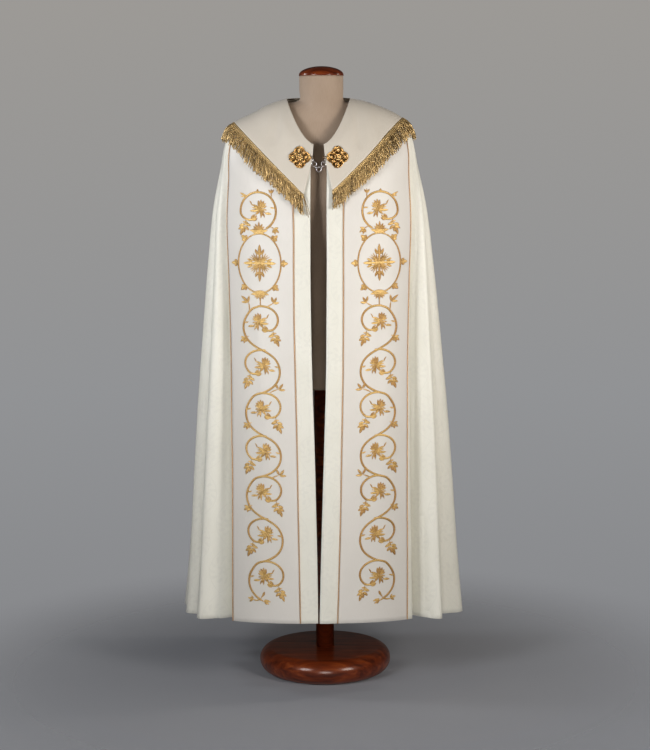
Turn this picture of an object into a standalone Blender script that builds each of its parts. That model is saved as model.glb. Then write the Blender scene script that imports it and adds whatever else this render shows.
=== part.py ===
"""Cope vestment on a limbless dress form.

Metres, +Z up, origin at the centre of the stand's underside. The front faces -Y. In the names, left and
right are those of someone who faces the front, so left is at -X.

All the cloth hangs on one drape: a stack of open rings round the body. A place on the drape is given by
its angle round the body, zero at the centre back, and by its run, the length of cloth from the neckline
down over the shoulder. RINGS holds the sizes of the drape at a few runs.
"""

import math

import bmesh
import bpy
import numpy as np

# Drape. Heights and depths are of the inner face, at the centre front, the two sides and the centre back.
# inner_deg and outer_deg are the angles from the front at which the orphrey begins and ends.
RING_COLUMNS = (
    "run", "front_z", "left_z", "right_z", "back_z", "half_width", "front_depth", "back_depth",
    "edge_x", "inner_deg", "outer_deg", "fold_share", "front_sway",
)
RING_ROWS = (
    (0.000, 1.450, 1.5690, 1.5690, 1.575, 0.083, 0.128, 0.072, 0.0215, 24.0, 80.0, 0.00, 0.0000),
    (0.050, 1.414, 1.5515, 1.5560, 1.540, 0.130, 0.137, 0.098, 0.0215, 20.0, 78.0, 0.00, 0.0000),
    (0.095, 1.377, 1.5295, 1.5410, 1.503, 0.172, 0.144, 0.120, 0.0215, 18.0, 77.0, 0.00, -0.0005),
    (0.136, 1.343, 1.5125, 1.5230, 1.466, 0.208, 0.151, 0.136, 0.0215, 17.0, 75.8, 0.01, -0.0010),
    (0.175, 1.310, 1.4940, 1.5000, 1.430, 0.235, 0.157, 0.149, 0.0215, 16.0, 73.5, 0.03, -0.0015),
    (0.216, 1.274, 1.4570, 1.4620, 1.390, 0.249, 0.163, 0.160, 0.0215, 15.2, 70.6, 0.07, -0.0020),
    (0.280, 1.218, 1.3950, 1.3970, 1.328, 0.257, 0.171, 0.172, 0.0215, 14.5, 67.2, 0.15, -0.0020),
    (0.380, 1.131, 1.2970, 1.2970, 1.230, 0.270, 0.182, 0.186, 0.0215, 13.8, 63.6, 0.28, -0.0025),
    (0.530, 1.003, 1.1480, 1.1480, 1.083, 0.280, 0.197, 0.202, 0.0205, 13.2, 58.0, 0.42, -0.0030),
    (0.730, 0.838, 0.9480, 0.9480, 0.888, 0.291, 0.215, 0.220, 0.0180, 12.2, 53.1, 0.58, -0.0030),
    (0.930, 0.672, 0.7480, 0.7480, 0.693, 0.302, 0.231, 0.237, 0.0130, 11.1, 50.1, 0.72, -0.0035),
    (1.130, 0.506, 0.5480, 0.5480, 0.500, 0.310, 0.243, 0.252, 0.0085, 10.3, 48.3, 0.85, -0.0050),
    (1.330, 0.339, 0.3450, 0.3450, 0.312, 0.320, 0.252, 0.264, 0.0045, 9.3, 46.6, 0.93, -0.0065),
    (1.500, 0.199, 0.1780, 0.1780, 0.160, 0.332, 0.258, 0.272, 0.0020, 8.4, 44.4, 1.00, -0.0080),
)
RINGS = dict(zip(RING_COLUMNS, np.array(RING_ROWS).T))
CLOTH_X = -0.008
NECK_TO_HEM = 1.500

# Folds of each half at the hem, each as (centre, lean, half_width, height). The centre is a share of the
# way from the orphrey to the centre back, and leans by a share for each metre of run. A negative height
# is a tuck.
LEFT_FOLDS = (
    (0.042, 0.008, 0.038, -0.042),
    (0.146, 0.052, 0.056, 0.042),
    (0.262, 0.010, 0.065, 0.046),
    (0.400, 0.000, 0.075, 0.055),
    (0.555, 0.000, 0.080, 0.060),
    (0.715, 0.000, 0.080, 0.050),
    (0.875, 0.000, 0.080, 0.058),
)
RIGHT_FOLDS = (
    (0.000, 0.000, 0.130, -0.003),
    (0.062, 0.018, 0.036, -0.042),
    (0.112, -0.008, 0.038, 0.047),
    (0.255, 0.000, 0.085, 0.060),
    (0.425, 0.000, 0.075, 0.058),
    (0.580, 0.000, 0.080, 0.052),
    (0.735, 0.000, 0.075, 0.060),
    (0.885, 0.000, 0.075, 0.050),
)
FOLD_CREST = 0.7
WIDEST_FOLD = 0.100
FOLD_SAMPLES = (-1.0, -0.68, -0.36, 0.0, 0.36, 0.68)

# Cloth and cords
CLOAK_WALL = 0.0020
ORPHREY_WALL = 0.0012
HOOD_WALL = 0.0015
PIPING_RADIUS, PIPING_SEAM = 0.0016, 0.0009
GAP = 0.0003
ROW_RUNS = (0.0, 0.035, 0.070, 0.105, 0.140, 0.170, 0.200, 0.235, 0.280, 0.360, 0.480, 0.660, 0.880,
            1.100, 1.320, NECK_TO_HEM)
STRIP_COLUMNS = 2
ORPHREY_COLUMNS = 4

# Hood. Its outline is a straight slope seen from the front, and a rounded shield seen from the back. It
# comes down to the piping along the neckline, where it is sewn.
HOOD_LIFT, HOOD_NECK_LIFT = 0.0085, 0.0059
HOOD_NECK_RUN = 0.030
HOOD_PUSH = 0.060
HOOD_EDGE_RUNS = (0.0, 0.050, 0.095, 0.140, 0.160)
HOOD_EDGE_X = (0.0130, 0.0165, 0.0240, 0.0330, 0.0370)
HOOD_TIP_X, HOOD_TIP_Z = 0.037, 1.322
HOOD_SLOPE = 1.005
HOOD_SHOULDER_X, HOOD_SHOULDER_Z = 0.230, 1.516
HOOD_BACK_Z = 1.130
HOOD_BACK_CURVE = 1.35
HOOD_COLUMNS, HOOD_ROWS = 45, 8
LONGEST_HOOD = 0.70

# Fringe
HEADING_RUN = 0.016
STRAND_RUN = 0.058
FRINGE_WALL = 0.0022
STRANDS_A_SIDE = 50
STRAND_SHARE = 0.58
STRAND_TAPER = (1.0, 0.85, 0.5)

# Clasps and chain
CLASP_X, CLASP_Z = 0.048, 1.4185
CLASP_RADIUS = 0.0285
CLASP_WAIST, LOBE_POWER = 0.76, 1.2
CLASP_PROFILE = ((1.00, 0.0022), (0.88, 0.0040), (0.66, 0.0034), (0.42, 0.0046), (0.20, 0.0066))
CLASP_ANGLES = 24
EYE_RADIUS, LINK_RADIUS, LINK_WIRE = 0.0040, 0.0062, 0.0008
LINK_COUNT, LINK_SIDES, WIRE_SIDES = 7, 12, 6
LINK_PLAY = 0.0006
CHAIN_DROP = 0.0310

# Dress form
BASE_RADIUS, BASE_EDGE = 0.1815, 0.0335
POLE_RADIUS = 0.0250
FORM_BOTTOM_Z = 0.800
NECK_RADIUS, NECK_TOP_Z = 0.0590, 1.6355
CAP_RADIUS, CAP_HEIGHT, CAP_LIP = 0.0600, 0.0255, 0.0020
SEAT = 0.0013
FORM_COLUMNS = (
    "front_z", "side_z", "back_z", "half_width", "front_depth", "back_depth", "centre_x",
)
NECK_ROWS = (
    (1.6355, 1.6355, 1.6355, 0.0590, 0.0590, 0.0590, 0.0),
    (1.6000, 1.6000, 1.6000, 0.0590, 0.0590, 0.0590, 0.0),
    (1.5550, 1.5710, 1.5780, 0.0605, 0.0610, 0.0600, 0.0),
)
SHOULDER_RUNS = (0.012, 0.050, 0.090, 0.125, 0.150)
SHOULDER_FRONT = ((1.520, 0.066), (1.488, 0.078), (1.455, 0.090), (1.425, 0.099), (1.400, 0.105))
SHOULDER_BACK = ((1.553, 0.062), (1.520, 0.078), (1.480, 0.092), (1.440, 0.104), (1.410, 0.112))
BODY_ROWS = (
    (1.360, 1.440, 1.365, 0.2160, 0.1120, 0.1180, CLOTH_X),
    (1.300, 1.360, 1.300, 0.1980, 0.1180, 0.1190, CLOTH_X),
    (1.220, 1.250, 1.220, 0.1780, 0.1160, 0.1120, CLOTH_X / 2),
    (1.120, 1.120, 1.120, 0.1580, 0.1020, 0.1000, 0.0),
    (1.040, 1.040, 1.040, 0.1530, 0.0980, 0.0990, 0.0),
    (0.940, 0.940, 0.940, 0.1680, 0.1060, 0.1120, 0.0),
    (0.860, 0.860, 0.860, 0.1740, 0.1100, 0.1180, 0.0),
    (0.800, 0.800, 0.800, 0.1700, 0.1070, 0.1140, 0.0),
)
FORM_SIDES, CAP_SIDES, BASE_SIDES, POLE_SIDES = 32, 28, 44, 20

NUDGE = 0.0005


def clear_scene():
    for item in list(bpy.data.objects):
        bpy.data.objects.remove(item, do_unlink=True)


def material(name, colour, roughness, metallic=0.0):
    """A Principled material with one colour, roughness and metallic value."""
    made = bpy.data.materials.new(name)
    made.use_nodes = True
    shader = made.node_tree.nodes["Principled BSDF"]
    shader.inputs["Base Color"].default_value = (*colour, 1.0)
    shader.inputs["Roughness"].default_value = roughness
    shader.inputs["Metallic"].default_value = metallic
    made.diffuse_color = (*colour, 1.0)
    return made


def smooth(places, known_places, known_values):
    """Cubic Hermite curve through the known values, with its slopes taken from their neighbours."""
    known_places, known_values = np.asarray(known_places), np.asarray(known_values)
    slopes = np.gradient(known_values, known_places)
    left = np.clip(np.searchsorted(known_places, places, side="right") - 1, 0, len(known_places) - 2)
    step = known_places[left + 1] - known_places[left]
    s = (places - known_places[left]) / step
    values = known_values[left] * (1 + 2 * s) * (1 - s) ** 2
    values += known_values[left + 1] * s * s * (3 - 2 * s)
    values += slopes[left] * step * s * (1 - s) ** 2
    values += slopes[left + 1] * step * s * s * (s - 1)
    return values


def ring(column, run):
    return smooth(run, RINGS["run"], RINGS[column])


def drape(angle, run, push=0.0):
    """Point of the drape's inner face, pushed straight out from the body by a folding distance."""
    half_width = ring("half_width", run)
    front = np.cos(angle) < 0
    depth = np.where(front, ring("front_depth", run), ring("back_depth", run))
    centre_z = np.where(front, ring("front_z", run), ring("back_z", run))
    out_x, out_y = np.sin(angle) * depth, np.cos(angle) * half_width
    push = push / np.hypot(out_x, out_y)
    sway = np.where(front, ring("front_sway", run), 0.0) * np.cos(angle) ** 2
    x = CLOTH_X + sway + half_width * np.sin(angle) + push * out_x
    y = depth * np.cos(angle) + push * out_y
    side_z = np.where(np.sin(angle) < 0, ring("left_z", run), ring("right_z", run))
    z = centre_z * np.cos(angle) ** 2 + side_z * np.sin(angle) ** 2
    return np.stack(np.broadcast_arrays(x, y, z), axis=-1)


def lifted(surface, place, run, lift):
    """Points of a surface moved along its normal, away from the body."""
    point = surface(place, run)
    over = surface(place + NUDGE, run) - surface(place - NUDGE, run)
    down = surface(place, run + NUDGE) - surface(place, run - NUDGE)
    normal = np.cross(over, down)
    outward = normal[..., 0] * (point[..., 0] - CLOTH_X) + normal[..., 1] * point[..., 1]
    scale = lift * np.sign(outward) / np.linalg.norm(normal, axis=-1)
    return point + normal * scale[..., None]


def mesh_object(name, points, faces, look):
    """One closed body with its faces turned out."""
    mesh = bpy.data.meshes.new(name)
    mesh.from_pydata(points.tolist(), [], faces)
    work = bmesh.new()
    work.from_mesh(mesh)
    bmesh.ops.recalc_face_normals(work, faces=work.faces)
    work.to_mesh(mesh)
    work.free()
    mesh.materials.append(look)
    mesh.shade_smooth()
    mesh.set_sharp_from_angle(angle=math.radians(40))
    bpy.context.scene.collection.objects.link(bpy.data.objects.new(name, mesh))


def wall(name, inner, outer, look):
    """A wall between two grids of points, closed round its rim, with each quad cut on the same diagonal."""
    rows, columns = inner.shape[:2]
    index = np.arange(rows * columns).reshape(rows, columns)
    far = index + rows * columns
    a, b, c, d = index[:-1, :-1], index[:-1, 1:], index[1:, 1:], index[1:, :-1]
    quads = np.stack([a, b, c, d], axis=-1).reshape(-1, 4)
    triangles = np.concatenate([quads[:, [0, 1, 2]], quads[:, [0, 2, 3]]])
    faces = triangles.tolist() + (triangles[:, ::-1] + rows * columns).tolist()
    rims = ((index[0], far[0]), (index[-1], far[-1]), (index[:, 0], far[:, 0]), (index[:, -1], far[:, -1]))
    for near_rim, far_rim in rims:
        rim = zip(near_rim[:-1], near_rim[1:], far_rim[1:], far_rim[:-1])
        faces += [[int(corner) for corner in face] for face in rim]
    points = np.concatenate([inner.reshape(-1, 3), outer.reshape(-1, 3)])
    mesh_object(name, points, faces, look)


def stacked_rings(name, rings, look):
    """A solid of rings, one above the other, with flat ends."""
    count, sides = rings.shape[:2]
    index = np.arange(count * sides).reshape(count, sides)
    after = np.roll(index, -1, axis=1)
    quads = np.stack([index[:-1], after[:-1], after[1:], index[1:]], axis=-1).reshape(-1, 4)
    faces = quads.tolist() + [index[0].tolist(), index[-1, ::-1].tolist()]
    mesh_object(name, rings.reshape(-1, 3), faces, look)


def turned(name, profile, sides, look):
    """A solid turned on the Z axis from (radius, height) pairs."""
    radius, height = np.array(profile).T
    angle = np.arange(sides) * 2 * math.pi / sides
    x = radius[:, None] * np.cos(angle)
    y = radius[:, None] * np.sin(angle)
    z = np.broadcast_to(height[:, None], x.shape)
    stacked_rings(name, np.stack([x, y, z], axis=-1), look)


def cord(name, route, radius, look):
    """A round cord with closed ends along a route of points."""
    curve = bpy.data.curves.new(name, "CURVE")
    curve.dimensions = "3D"
    curve.bevel_depth = radius
    curve.bevel_resolution = 1
    curve.use_fill_caps = True
    line = curve.splines.new("POLY")
    line.points.add(len(route) - 1)
    for point, place in zip(line.points, route):
        point.co = (*place, 1.0)
    curve.materials.append(look)
    bpy.context.scene.collection.objects.link(bpy.data.objects.new(name, curve))


# ---------------------------------------------------------------- cloak, orphreys and piping
def front_angle(across, run):
    """Angle from the front of a place across one half: 0 at the front edge, 1 and 2 at the orphrey's
    inner and outer edges, 3 at the centre back."""
    edge = np.arcsin(ring("edge_x", run) / ring("half_width", run))
    inner = np.radians(ring("inner_deg", run))
    outer = np.radians(ring("outer_deg", run))
    strip = edge + (inner - edge) * across
    band = inner + (outer - inner) * (across - 1)
    rest = outer + (math.pi - outer) * (across - 2)
    return np.where(across < 1, strip, np.where(across < 2, band, rest))


def fold_push(folds, angle, run):
    """Each fold is a ridge with a broad crest and a narrow foot, and it deepens down to the hem."""
    outer = np.radians(ring("outer_deg", run))
    place = (angle - outer) / (math.pi - outer)
    push = np.zeros(place.shape)
    for centre, lean, half_width, height in folds:
        s = np.clip((place - centre - lean * (run - NECK_TO_HEM)) / half_width, -1, 1)
        push = push + height * (0.5 + 0.5 * np.cos(math.pi * s)) ** FOLD_CREST
    return push * ring("fold_share", run)


def cloak_surface(side, folds):
    def surface(across, run):
        angle = front_angle(across, run)
        return drape(side * (math.pi - angle), run, fold_push(folds, angle, run))

    return surface


def fold_columns(folds):
    """Columns of the cloth past the orphrey: a few for each fold, from its foot over its crest."""
    places = {3.0, round(2 + folds[-1][0] + folds[-1][2], 4)}
    for centre, _, half_width, _ in folds:
        if half_width > WIDEST_FOLD:
            continue
        places.update(round(2 + centre + half_width * share, 4) for share in FOLD_SAMPLES)
    return sorted(place for place in places if place > 2)


def trimmed(grid, distance):
    """The grid with its first and last columns drawn in by a distance."""
    grid = grid.copy()
    for edge, beside in ((0, 1), (-1, -2)):
        step = grid[:, beside] - grid[:, edge]
        grid[:, edge] += step * (distance / np.linalg.norm(step, axis=-1))[:, None]
    return grid


def make_half(word, side, folds, looks):
    """One half of the cope: damask panel, orphrey on it, and a cord along each edge of the orphrey."""
    surface = cloak_surface(side, folds)
    runs = np.array(ROW_RUNS)[:, None]
    band = np.linspace(1, 2, ORPHREY_COLUMNS + 1)
    strip = np.linspace(0, 1, STRIP_COLUMNS + 1)[:-1]
    columns = np.concatenate([strip, band, fold_columns(folds)])
    seam = np.array([side * GAP / 2, 0.0, 0.0])
    inner = lifted(surface, columns, runs, 0.0) + seam
    outer = lifted(surface, columns, runs, CLOAK_WALL) + seam
    wall("cloak_" + word, inner, outer, looks["damask"])

    low = CLOAK_WALL + GAP
    under = trimmed(lifted(surface, band, runs, low) + seam, PIPING_RADIUS + PIPING_SEAM)
    over = trimmed(lifted(surface, band, runs, low + ORPHREY_WALL) + seam, PIPING_RADIUS + PIPING_SEAM)
    wall("orphrey_" + word, under, over, looks["satin"])

    for edge, across in (("inner", 1.0), ("outer", 2.0)):
        route = lifted(surface, np.array([across]), runs, low + PIPING_RADIUS)[:, 0] + seam
        cord("piping_" + word + "_" + edge, route, PIPING_RADIUS, looks["gold"])


# ---------------------------------------------------------------- hood and fringe
def hood_angle(place, run):
    """Angle of a place round the hood: -1 and 1 at its front edges, 0 at the centre back."""
    edge = np.arcsin(smooth(run, HOOD_EDGE_RUNS, HOOD_EDGE_X) / ring("half_width", run))
    late = np.arcsin(HOOD_EDGE_X[-1] / ring("half_width", run))
    return place * (math.pi - np.where(run > HOOD_EDGE_RUNS[-1], late, edge))


def hood_surface(place, run):
    return drape(hood_angle(place, run), run, HOOD_PUSH * ring("fold_share", run))


def hood_reach(place):
    """Run at which the hood ends: where the drape drops below the hood's outline, and straight between
    the hood's own columns."""
    columns = np.linspace(-1, 1, HOOD_COLUMNS)
    runs = np.linspace(0, LONGEST_HOOD, 281)
    x, y, z = np.moveaxis(drape(hood_angle(columns[:, None], runs), runs), -1, 0)
    beside = np.abs(x - CLOTH_X)
    rise = np.minimum(beside / HOOD_SHOULDER_X, 1) ** HOOD_BACK_CURVE
    front = HOOD_TIP_Z + (beside - HOOD_TIP_X) * HOOD_SLOPE
    back = HOOD_BACK_Z + (HOOD_SHOULDER_Z - HOOD_BACK_Z) * rise
    above = z - np.where(y < 0, front, back)
    last = np.maximum((above < 0).argmax(axis=1), 1)
    each = np.arange(HOOD_COLUMNS)
    share = above[each, last - 1] / (above[each, last - 1] - above[each, last])
    return np.interp(place, columns, runs[last - 1] + share * (runs[1] - runs[0]))


def make_hood(looks):
    places = np.linspace(-1, 1, HOOD_COLUMNS)
    runs = np.linspace(0, 1, HOOD_ROWS)[:, None] * (hood_reach(places) - GAP)
    lift = np.interp(runs, (0, HOOD_NECK_RUN), (HOOD_NECK_LIFT, HOOD_LIFT))
    inner = lifted(hood_surface, places, runs, lift)
    outer = lifted(hood_surface, places, runs, lift + HOOD_WALL)
    wall("hood", inner, outer, looks["satin"])


def fringe_angle(place, drop):
    """Angle of a strand below its root: plumb on the chest and back, straight out over the shoulder."""
    reach = hood_reach(place)
    root = hood_angle(place, reach)
    run = reach + drop
    sideways = np.clip(ring("half_width", reach) * np.abs(np.sin(root)) / ring("half_width", run), 0, 1)
    plumb = np.where(np.cos(root) < 0, math.pi - np.arcsin(sideways), np.arcsin(sideways)) * np.sign(place)
    radial = np.sin(root) ** 4
    return root * radial + plumb * (1 - radial), run


def fringe_points(place, drop, lift):
    angle, run = fringe_angle(place, drop)
    share = ring("fold_share", run)
    below = ring("fold_share", run + NUDGE)
    point = drape(angle, run, HOOD_PUSH * share)
    over = drape(angle + NUDGE, run, HOOD_PUSH * share) - drape(angle - NUDGE, run, HOOD_PUSH * share)
    down = drape(angle, run + NUDGE, HOOD_PUSH * below) - point
    normal = np.cross(over, down)
    return point + normal * (lift / np.linalg.norm(normal, axis=-1))[..., None]


def even_places(side, count):
    """Places along one side of the hood's edge, equally far apart, from the front tip to the centre back."""
    fine = np.linspace(1, 0.002, 400)
    line = drape(hood_angle(fine, hood_reach(fine)), hood_reach(fine))
    lengths = np.concatenate([[0], np.cumsum(np.linalg.norm(np.diff(line, axis=0), axis=-1))])
    return side * np.interp(np.linspace(0, lengths[-1], count), lengths, fine)


def make_fringe(word, side, looks):
    """A woven heading below the hood's edge, with strands drawn out of its lower side."""
    even = even_places(side, 2 * STRANDS_A_SIDE + 1)
    left = even[:-1:2]
    right = left + (even[2::2] - left) * STRAND_SHARE
    places = np.append(np.stack([left, right], axis=1).reshape(-1), even[-1])
    low, high = HOOD_LIFT, HOOD_LIFT + FRINGE_WALL
    corners = ((GAP, low), (GAP, high), (HEADING_RUN, high), (HEADING_RUN, low))
    heading = np.stack([fringe_points(places, drop, lift) for drop, lift in corners], axis=1)
    index = np.arange(heading.shape[0] * 4).reshape(-1, 4)
    faces = [index[0].tolist(), index[-1].tolist()]
    for near, far in zip(index[:-1], index[1:]):
        sides = [[near[k], near[(k + 1) % 4], far[(k + 1) % 4], far[k]] for k in range(4)]
        has_strand = (near[0] // 4) % 2 == 0
        faces += [[int(c) for c in face] for k, face in enumerate(sides) if not (has_strand and k == 2)]

    points = [heading.reshape(-1, 3)]
    middle, half = (left + right) / 2, (right - left) / 2
    rings = [np.stack([index[0:-1:2, 2], index[0:-1:2, 3], index[1::2, 3], index[1::2, 2]], axis=1)]
    start = heading.shape[0] * 4
    for step, taper in enumerate(STRAND_TAPER[1:], start=1):
        drop = HEADING_RUN + STRAND_RUN * step / (len(STRAND_TAPER) - 1)
        thin = FRINGE_WALL * (1 - taper) / 2
        spots = ((-1, high - thin), (-1, low + thin), (1, low + thin), (1, high - thin))
        ring_points = [fringe_points(middle + turn * half * taper, drop, lift) for turn, lift in spots]
        points.append(np.stack(ring_points, axis=1).reshape(-1, 3))
        rings.append(start + np.arange(len(left) * 4).reshape(-1, 4))
        start += len(left) * 4
    for upper, lower in zip(rings[:-1], rings[1:]):
        for k in range(4):
            turn = (k + 1) % 4
            quads = np.stack([upper[:, k], upper[:, turn], lower[:, turn], lower[:, k]], axis=1)
            faces += quads.tolist()
    faces += rings[-1].tolist()
    mesh_object("fringe_" + word, np.concatenate(points), faces, looks["fringe"])


# ---------------------------------------------------------------- clasps and chain
def on_front(x, z):
    """Angle and run of the front of the drape at a place given by its width and height."""
    runs = np.linspace(0, LONGEST_HOOD, 281)
    sideways = np.clip((x[..., None] - CLOTH_X) / ring("half_width", runs), -1, 1)
    angles = np.sign(sideways) * (math.pi - np.arcsin(np.abs(sideways)))
    heights = drape(angles, runs)[..., 2]
    last = np.maximum((heights < z[..., None]).argmax(axis=-1), 1)
    upper = np.take_along_axis(heights, last[..., None] - 1, axis=-1)[..., 0]
    lower = np.take_along_axis(heights, last[..., None], axis=-1)[..., 0]
    run = runs[last - 1] + (upper - z) / (upper - lower) * (runs[1] - runs[0])
    sideways = (x - CLOTH_X) / ring("half_width", run)
    return np.sign(sideways) * (math.pi - np.arcsin(np.abs(sideways))), run


def make_clasp(word, side, looks):
    """A plate with four lobes, stepped up to a boss, lying on the hood."""
    turn = np.arange(CLASP_ANGLES) * 2 * math.pi / CLASP_ANGLES
    outline = CLASP_RADIUS * (CLASP_WAIST + (1 - CLASP_WAIST) * np.abs(np.cos(2 * turn)) ** LOBE_POWER)
    floor = HOOD_LIFT + HOOD_WALL + GAP
    steps = ((0.5, 0.0), (1.0, 0.0), *CLASP_PROFILE)
    rings = []
    for share, height in steps:
        x = CLOTH_X + side * CLASP_X + share * outline * np.cos(turn)
        z = CLASP_Z + share * outline * np.sin(turn)
        angle, run = on_front(x, z)
        rings.append(lifted(drape, angle, run, floor + height))
    stacked_rings("clasp_" + word, np.stack(rings), looks["gilt"])


def make_link(name, centre, radius, axes, look):
    """A wire ring round its centre, in the plane of two unit axes."""
    turn = np.arange(LINK_SIDES) * 2 * math.pi / LINK_SIDES
    wire = np.arange(WIRE_SIDES) * 2 * math.pi / WIRE_SIDES
    normal = np.cross(axes[0], axes[1])
    radial = np.cos(turn)[:, None] * axes[0] + np.sin(turn)[:, None] * axes[1]
    tube = np.cos(wire)[:, None, None] * radial + np.sin(wire)[:, None, None] * normal
    points = centre + radius * radial + LINK_WIRE * tube
    index = np.arange(WIRE_SIDES * LINK_SIDES).reshape(WIRE_SIDES, LINK_SIDES)
    next_wire, next_turn = np.roll(index, -1, axis=0), np.roll(index, -1, axis=1)
    both = np.roll(next_wire, -1, axis=1)
    faces = np.stack([index, next_wire, both, next_turn], axis=-1).reshape(-1, 4).tolist()
    mesh_object(name, points.reshape(-1, 3), faces, look)


def make_chain(looks):
    """An eye at the inner point of each clasp, and a chain that hangs between them. Each link is turned
    a quarter from the last."""
    reach = EYE_RADIUS + LINK_WIRE + GAP
    plate_x = np.array([CLASP_RADIUS - CLASP_X, CLASP_X - CLASP_RADIUS])
    angle, run = on_front(CLOTH_X + plate_x - np.sign(plate_x) * reach, np.full(2, CLASP_Z))
    centres = lifted(drape, angle, run, HOOD_LIFT + HOOD_WALL + GAP + CLASP_PROFILE[0][1] / 2)
    rises = drape(angle, run - NUDGE) - drape(angle, run + NUDGE)
    across = np.array([1.0, 0.0, 0.0])
    for word, centre, rise in zip(("left", "right"), centres, rises):
        axes = (across, rise / np.linalg.norm(rise))
        make_link("clasp_eye_" + word, centre, EYE_RADIUS, axes, looks["gilt"])

    (left, forward, top), (right, _, _) = centres
    away = np.array([0.0, -1.0, 0.0])
    turn = np.linspace(0, math.pi, 200)
    middle, half = (left + right) / 2, (right - left) / 2
    line = np.stack([middle - half * np.cos(turn), np.full(200, forward),
                     top - CHAIN_DROP * np.sin(turn)], axis=1)
    lengths = np.concatenate([[0], np.cumsum(np.linalg.norm(np.diff(line, axis=0), axis=1))])
    first = EYE_RADIUS + LINK_RADIUS - 2 * LINK_WIRE - LINK_PLAY
    for number, far in enumerate(np.linspace(first, lengths[-1] - first, LINK_COUNT), start=1):
        centre = np.array([np.interp(far, lengths, line[:, k]) for k in range(3)])
        ahead = np.array([np.interp(far + NUDGE, lengths, line[:, k]) for k in range(3)])
        along = (ahead - centre) / np.linalg.norm(ahead - centre)
        beside = away if number % 2 else np.cross(along, away)
        make_link("chain_link_%d" % number, centre, LINK_RADIUS, (along, beside), looks["silver"])


# ---------------------------------------------------------------- dress form
def form_table():
    """Rows of the torso from the neck down. Its shoulders follow the drape's, SEAT below it."""
    rows = list(NECK_ROWS)
    for run, (front_z, front_depth), (back_z, back_depth) in zip(SHOULDER_RUNS, SHOULDER_FRONT, SHOULDER_BACK):
        run = np.array(run)
        side_z = float(min(ring("left_z", run), ring("right_z", run))) - SEAT
        rows.append((front_z, side_z, back_z, float(ring("half_width", run)), front_depth, back_depth, CLOTH_X))
    return dict(zip(FORM_COLUMNS, np.array(rows + list(BODY_ROWS)).T))


def make_form(looks):
    table = {name: values[:, None] for name, values in form_table().items()}
    angle = np.arange(FORM_SIDES) * 2 * math.pi / FORM_SIDES
    front = np.cos(angle) < 0
    depth = np.where(front, table["front_depth"], table["back_depth"])
    centre_z = np.where(front, table["front_z"], table["back_z"])
    x = table["centre_x"] + table["half_width"] * np.sin(angle)
    y = depth * np.cos(angle)
    z = centre_z * np.cos(angle) ** 2 + table["side_z"] * np.sin(angle) ** 2
    stacked_rings("form_torso", np.stack([x, y, z], axis=-1), looks["linen"])

    bottom = NECK_TOP_Z + GAP
    dome = [(CAP_RADIUS * math.cos(t), bottom + CAP_LIP + (CAP_HEIGHT - CAP_LIP) * math.sin(t))
            for t in np.radians(np.linspace(83, 0, 6))]
    turned("form_cap", dome + [(CAP_RADIUS, bottom)], CAP_SIDES, looks["wood"])

    top = 2 * BASE_EDGE
    rim = [(BASE_RADIUS - BASE_EDGE + BASE_EDGE * math.sin(t), BASE_EDGE + BASE_EDGE * math.cos(t))
           for t in np.radians(np.linspace(0, 180, 9))]
    turned("form_base", rim, BASE_SIDES, looks["wood"])
    pole = [(POLE_RADIUS, FORM_BOTTOM_Z - GAP), (POLE_RADIUS, top + GAP)]
    turned("form_pole", pole, POLE_SIDES, looks["wood"])


def main():
    clear_scene()
    looks = {
        "damask": material("damask", (0.75, 0.74, 0.66), 0.55),
        "satin": material("satin", (0.73, 0.70, 0.64), 0.45),
        "gold": material("gold_cord", (0.50, 0.26, 0.12), 0.40, 0.6),
        "fringe": material("gold_fringe", (0.42, 0.29, 0.08), 0.40, 0.7),
        "gilt": material("gilt_brass", (0.62, 0.40, 0.10), 0.28, 1.0),
        "silver": material("silver_steel", (0.70, 0.70, 0.72), 0.20, 1.0),
        "linen": material("linen", (0.40, 0.30, 0.22), 0.90),
        "wood": material("mahogany", (0.09, 0.022, 0.008), 0.22),
    }
    make_half("left", -1, LEFT_FOLDS, looks)
    make_half("right", 1, RIGHT_FOLDS, looks)
    make_hood(looks)
    for word, side in (("left", -1), ("right", 1)):
        make_fringe(word, side, looks)
        make_clasp(word, side, looks)
    make_chain(looks)
    make_form(looks)


main()
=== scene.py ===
"""Cope vestment on a limbless dress form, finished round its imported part.

Metres, +Z up. The front faces -Y, and in the names left and right are those of someone who faces it, so
left is at -X. All the cloth hangs on one drape: a place on it is given by its angle round the body, zero
at the centre back, and by its run, the length of cloth from the neckline down.
"""

import math
from functools import partial

import bpy
import numpy as np
from mathutils import Matrix, Vector


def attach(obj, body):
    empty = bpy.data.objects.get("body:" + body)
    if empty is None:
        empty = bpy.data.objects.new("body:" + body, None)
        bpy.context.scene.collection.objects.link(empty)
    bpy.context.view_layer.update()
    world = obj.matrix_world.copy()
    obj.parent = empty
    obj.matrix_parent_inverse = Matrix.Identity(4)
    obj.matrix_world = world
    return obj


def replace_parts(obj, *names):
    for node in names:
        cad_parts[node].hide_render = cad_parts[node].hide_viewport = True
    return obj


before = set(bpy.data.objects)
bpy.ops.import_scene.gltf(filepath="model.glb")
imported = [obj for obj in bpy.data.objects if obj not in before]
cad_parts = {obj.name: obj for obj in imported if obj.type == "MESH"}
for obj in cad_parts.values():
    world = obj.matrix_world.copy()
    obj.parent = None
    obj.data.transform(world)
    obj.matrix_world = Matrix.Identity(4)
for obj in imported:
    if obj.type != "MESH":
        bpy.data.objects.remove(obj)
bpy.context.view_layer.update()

# ---------------------------------------------------------------- camera
# A long lens at chest height, five metres off, tipped a little down so that the whole stand shows.
LENS_MM, SENSOR_MM, SHIFT = 88.46, 36.0, 0.0023
CAMERA_PLACE = (0.0, -5.0, 1.4925)
TILT_DEG, ROLL_DEG = 7.58, 0.394
camera = bpy.data.objects.new("camera", bpy.data.cameras.new("camera"))
camera.data.sensor_width = SENSOR_MM
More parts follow.
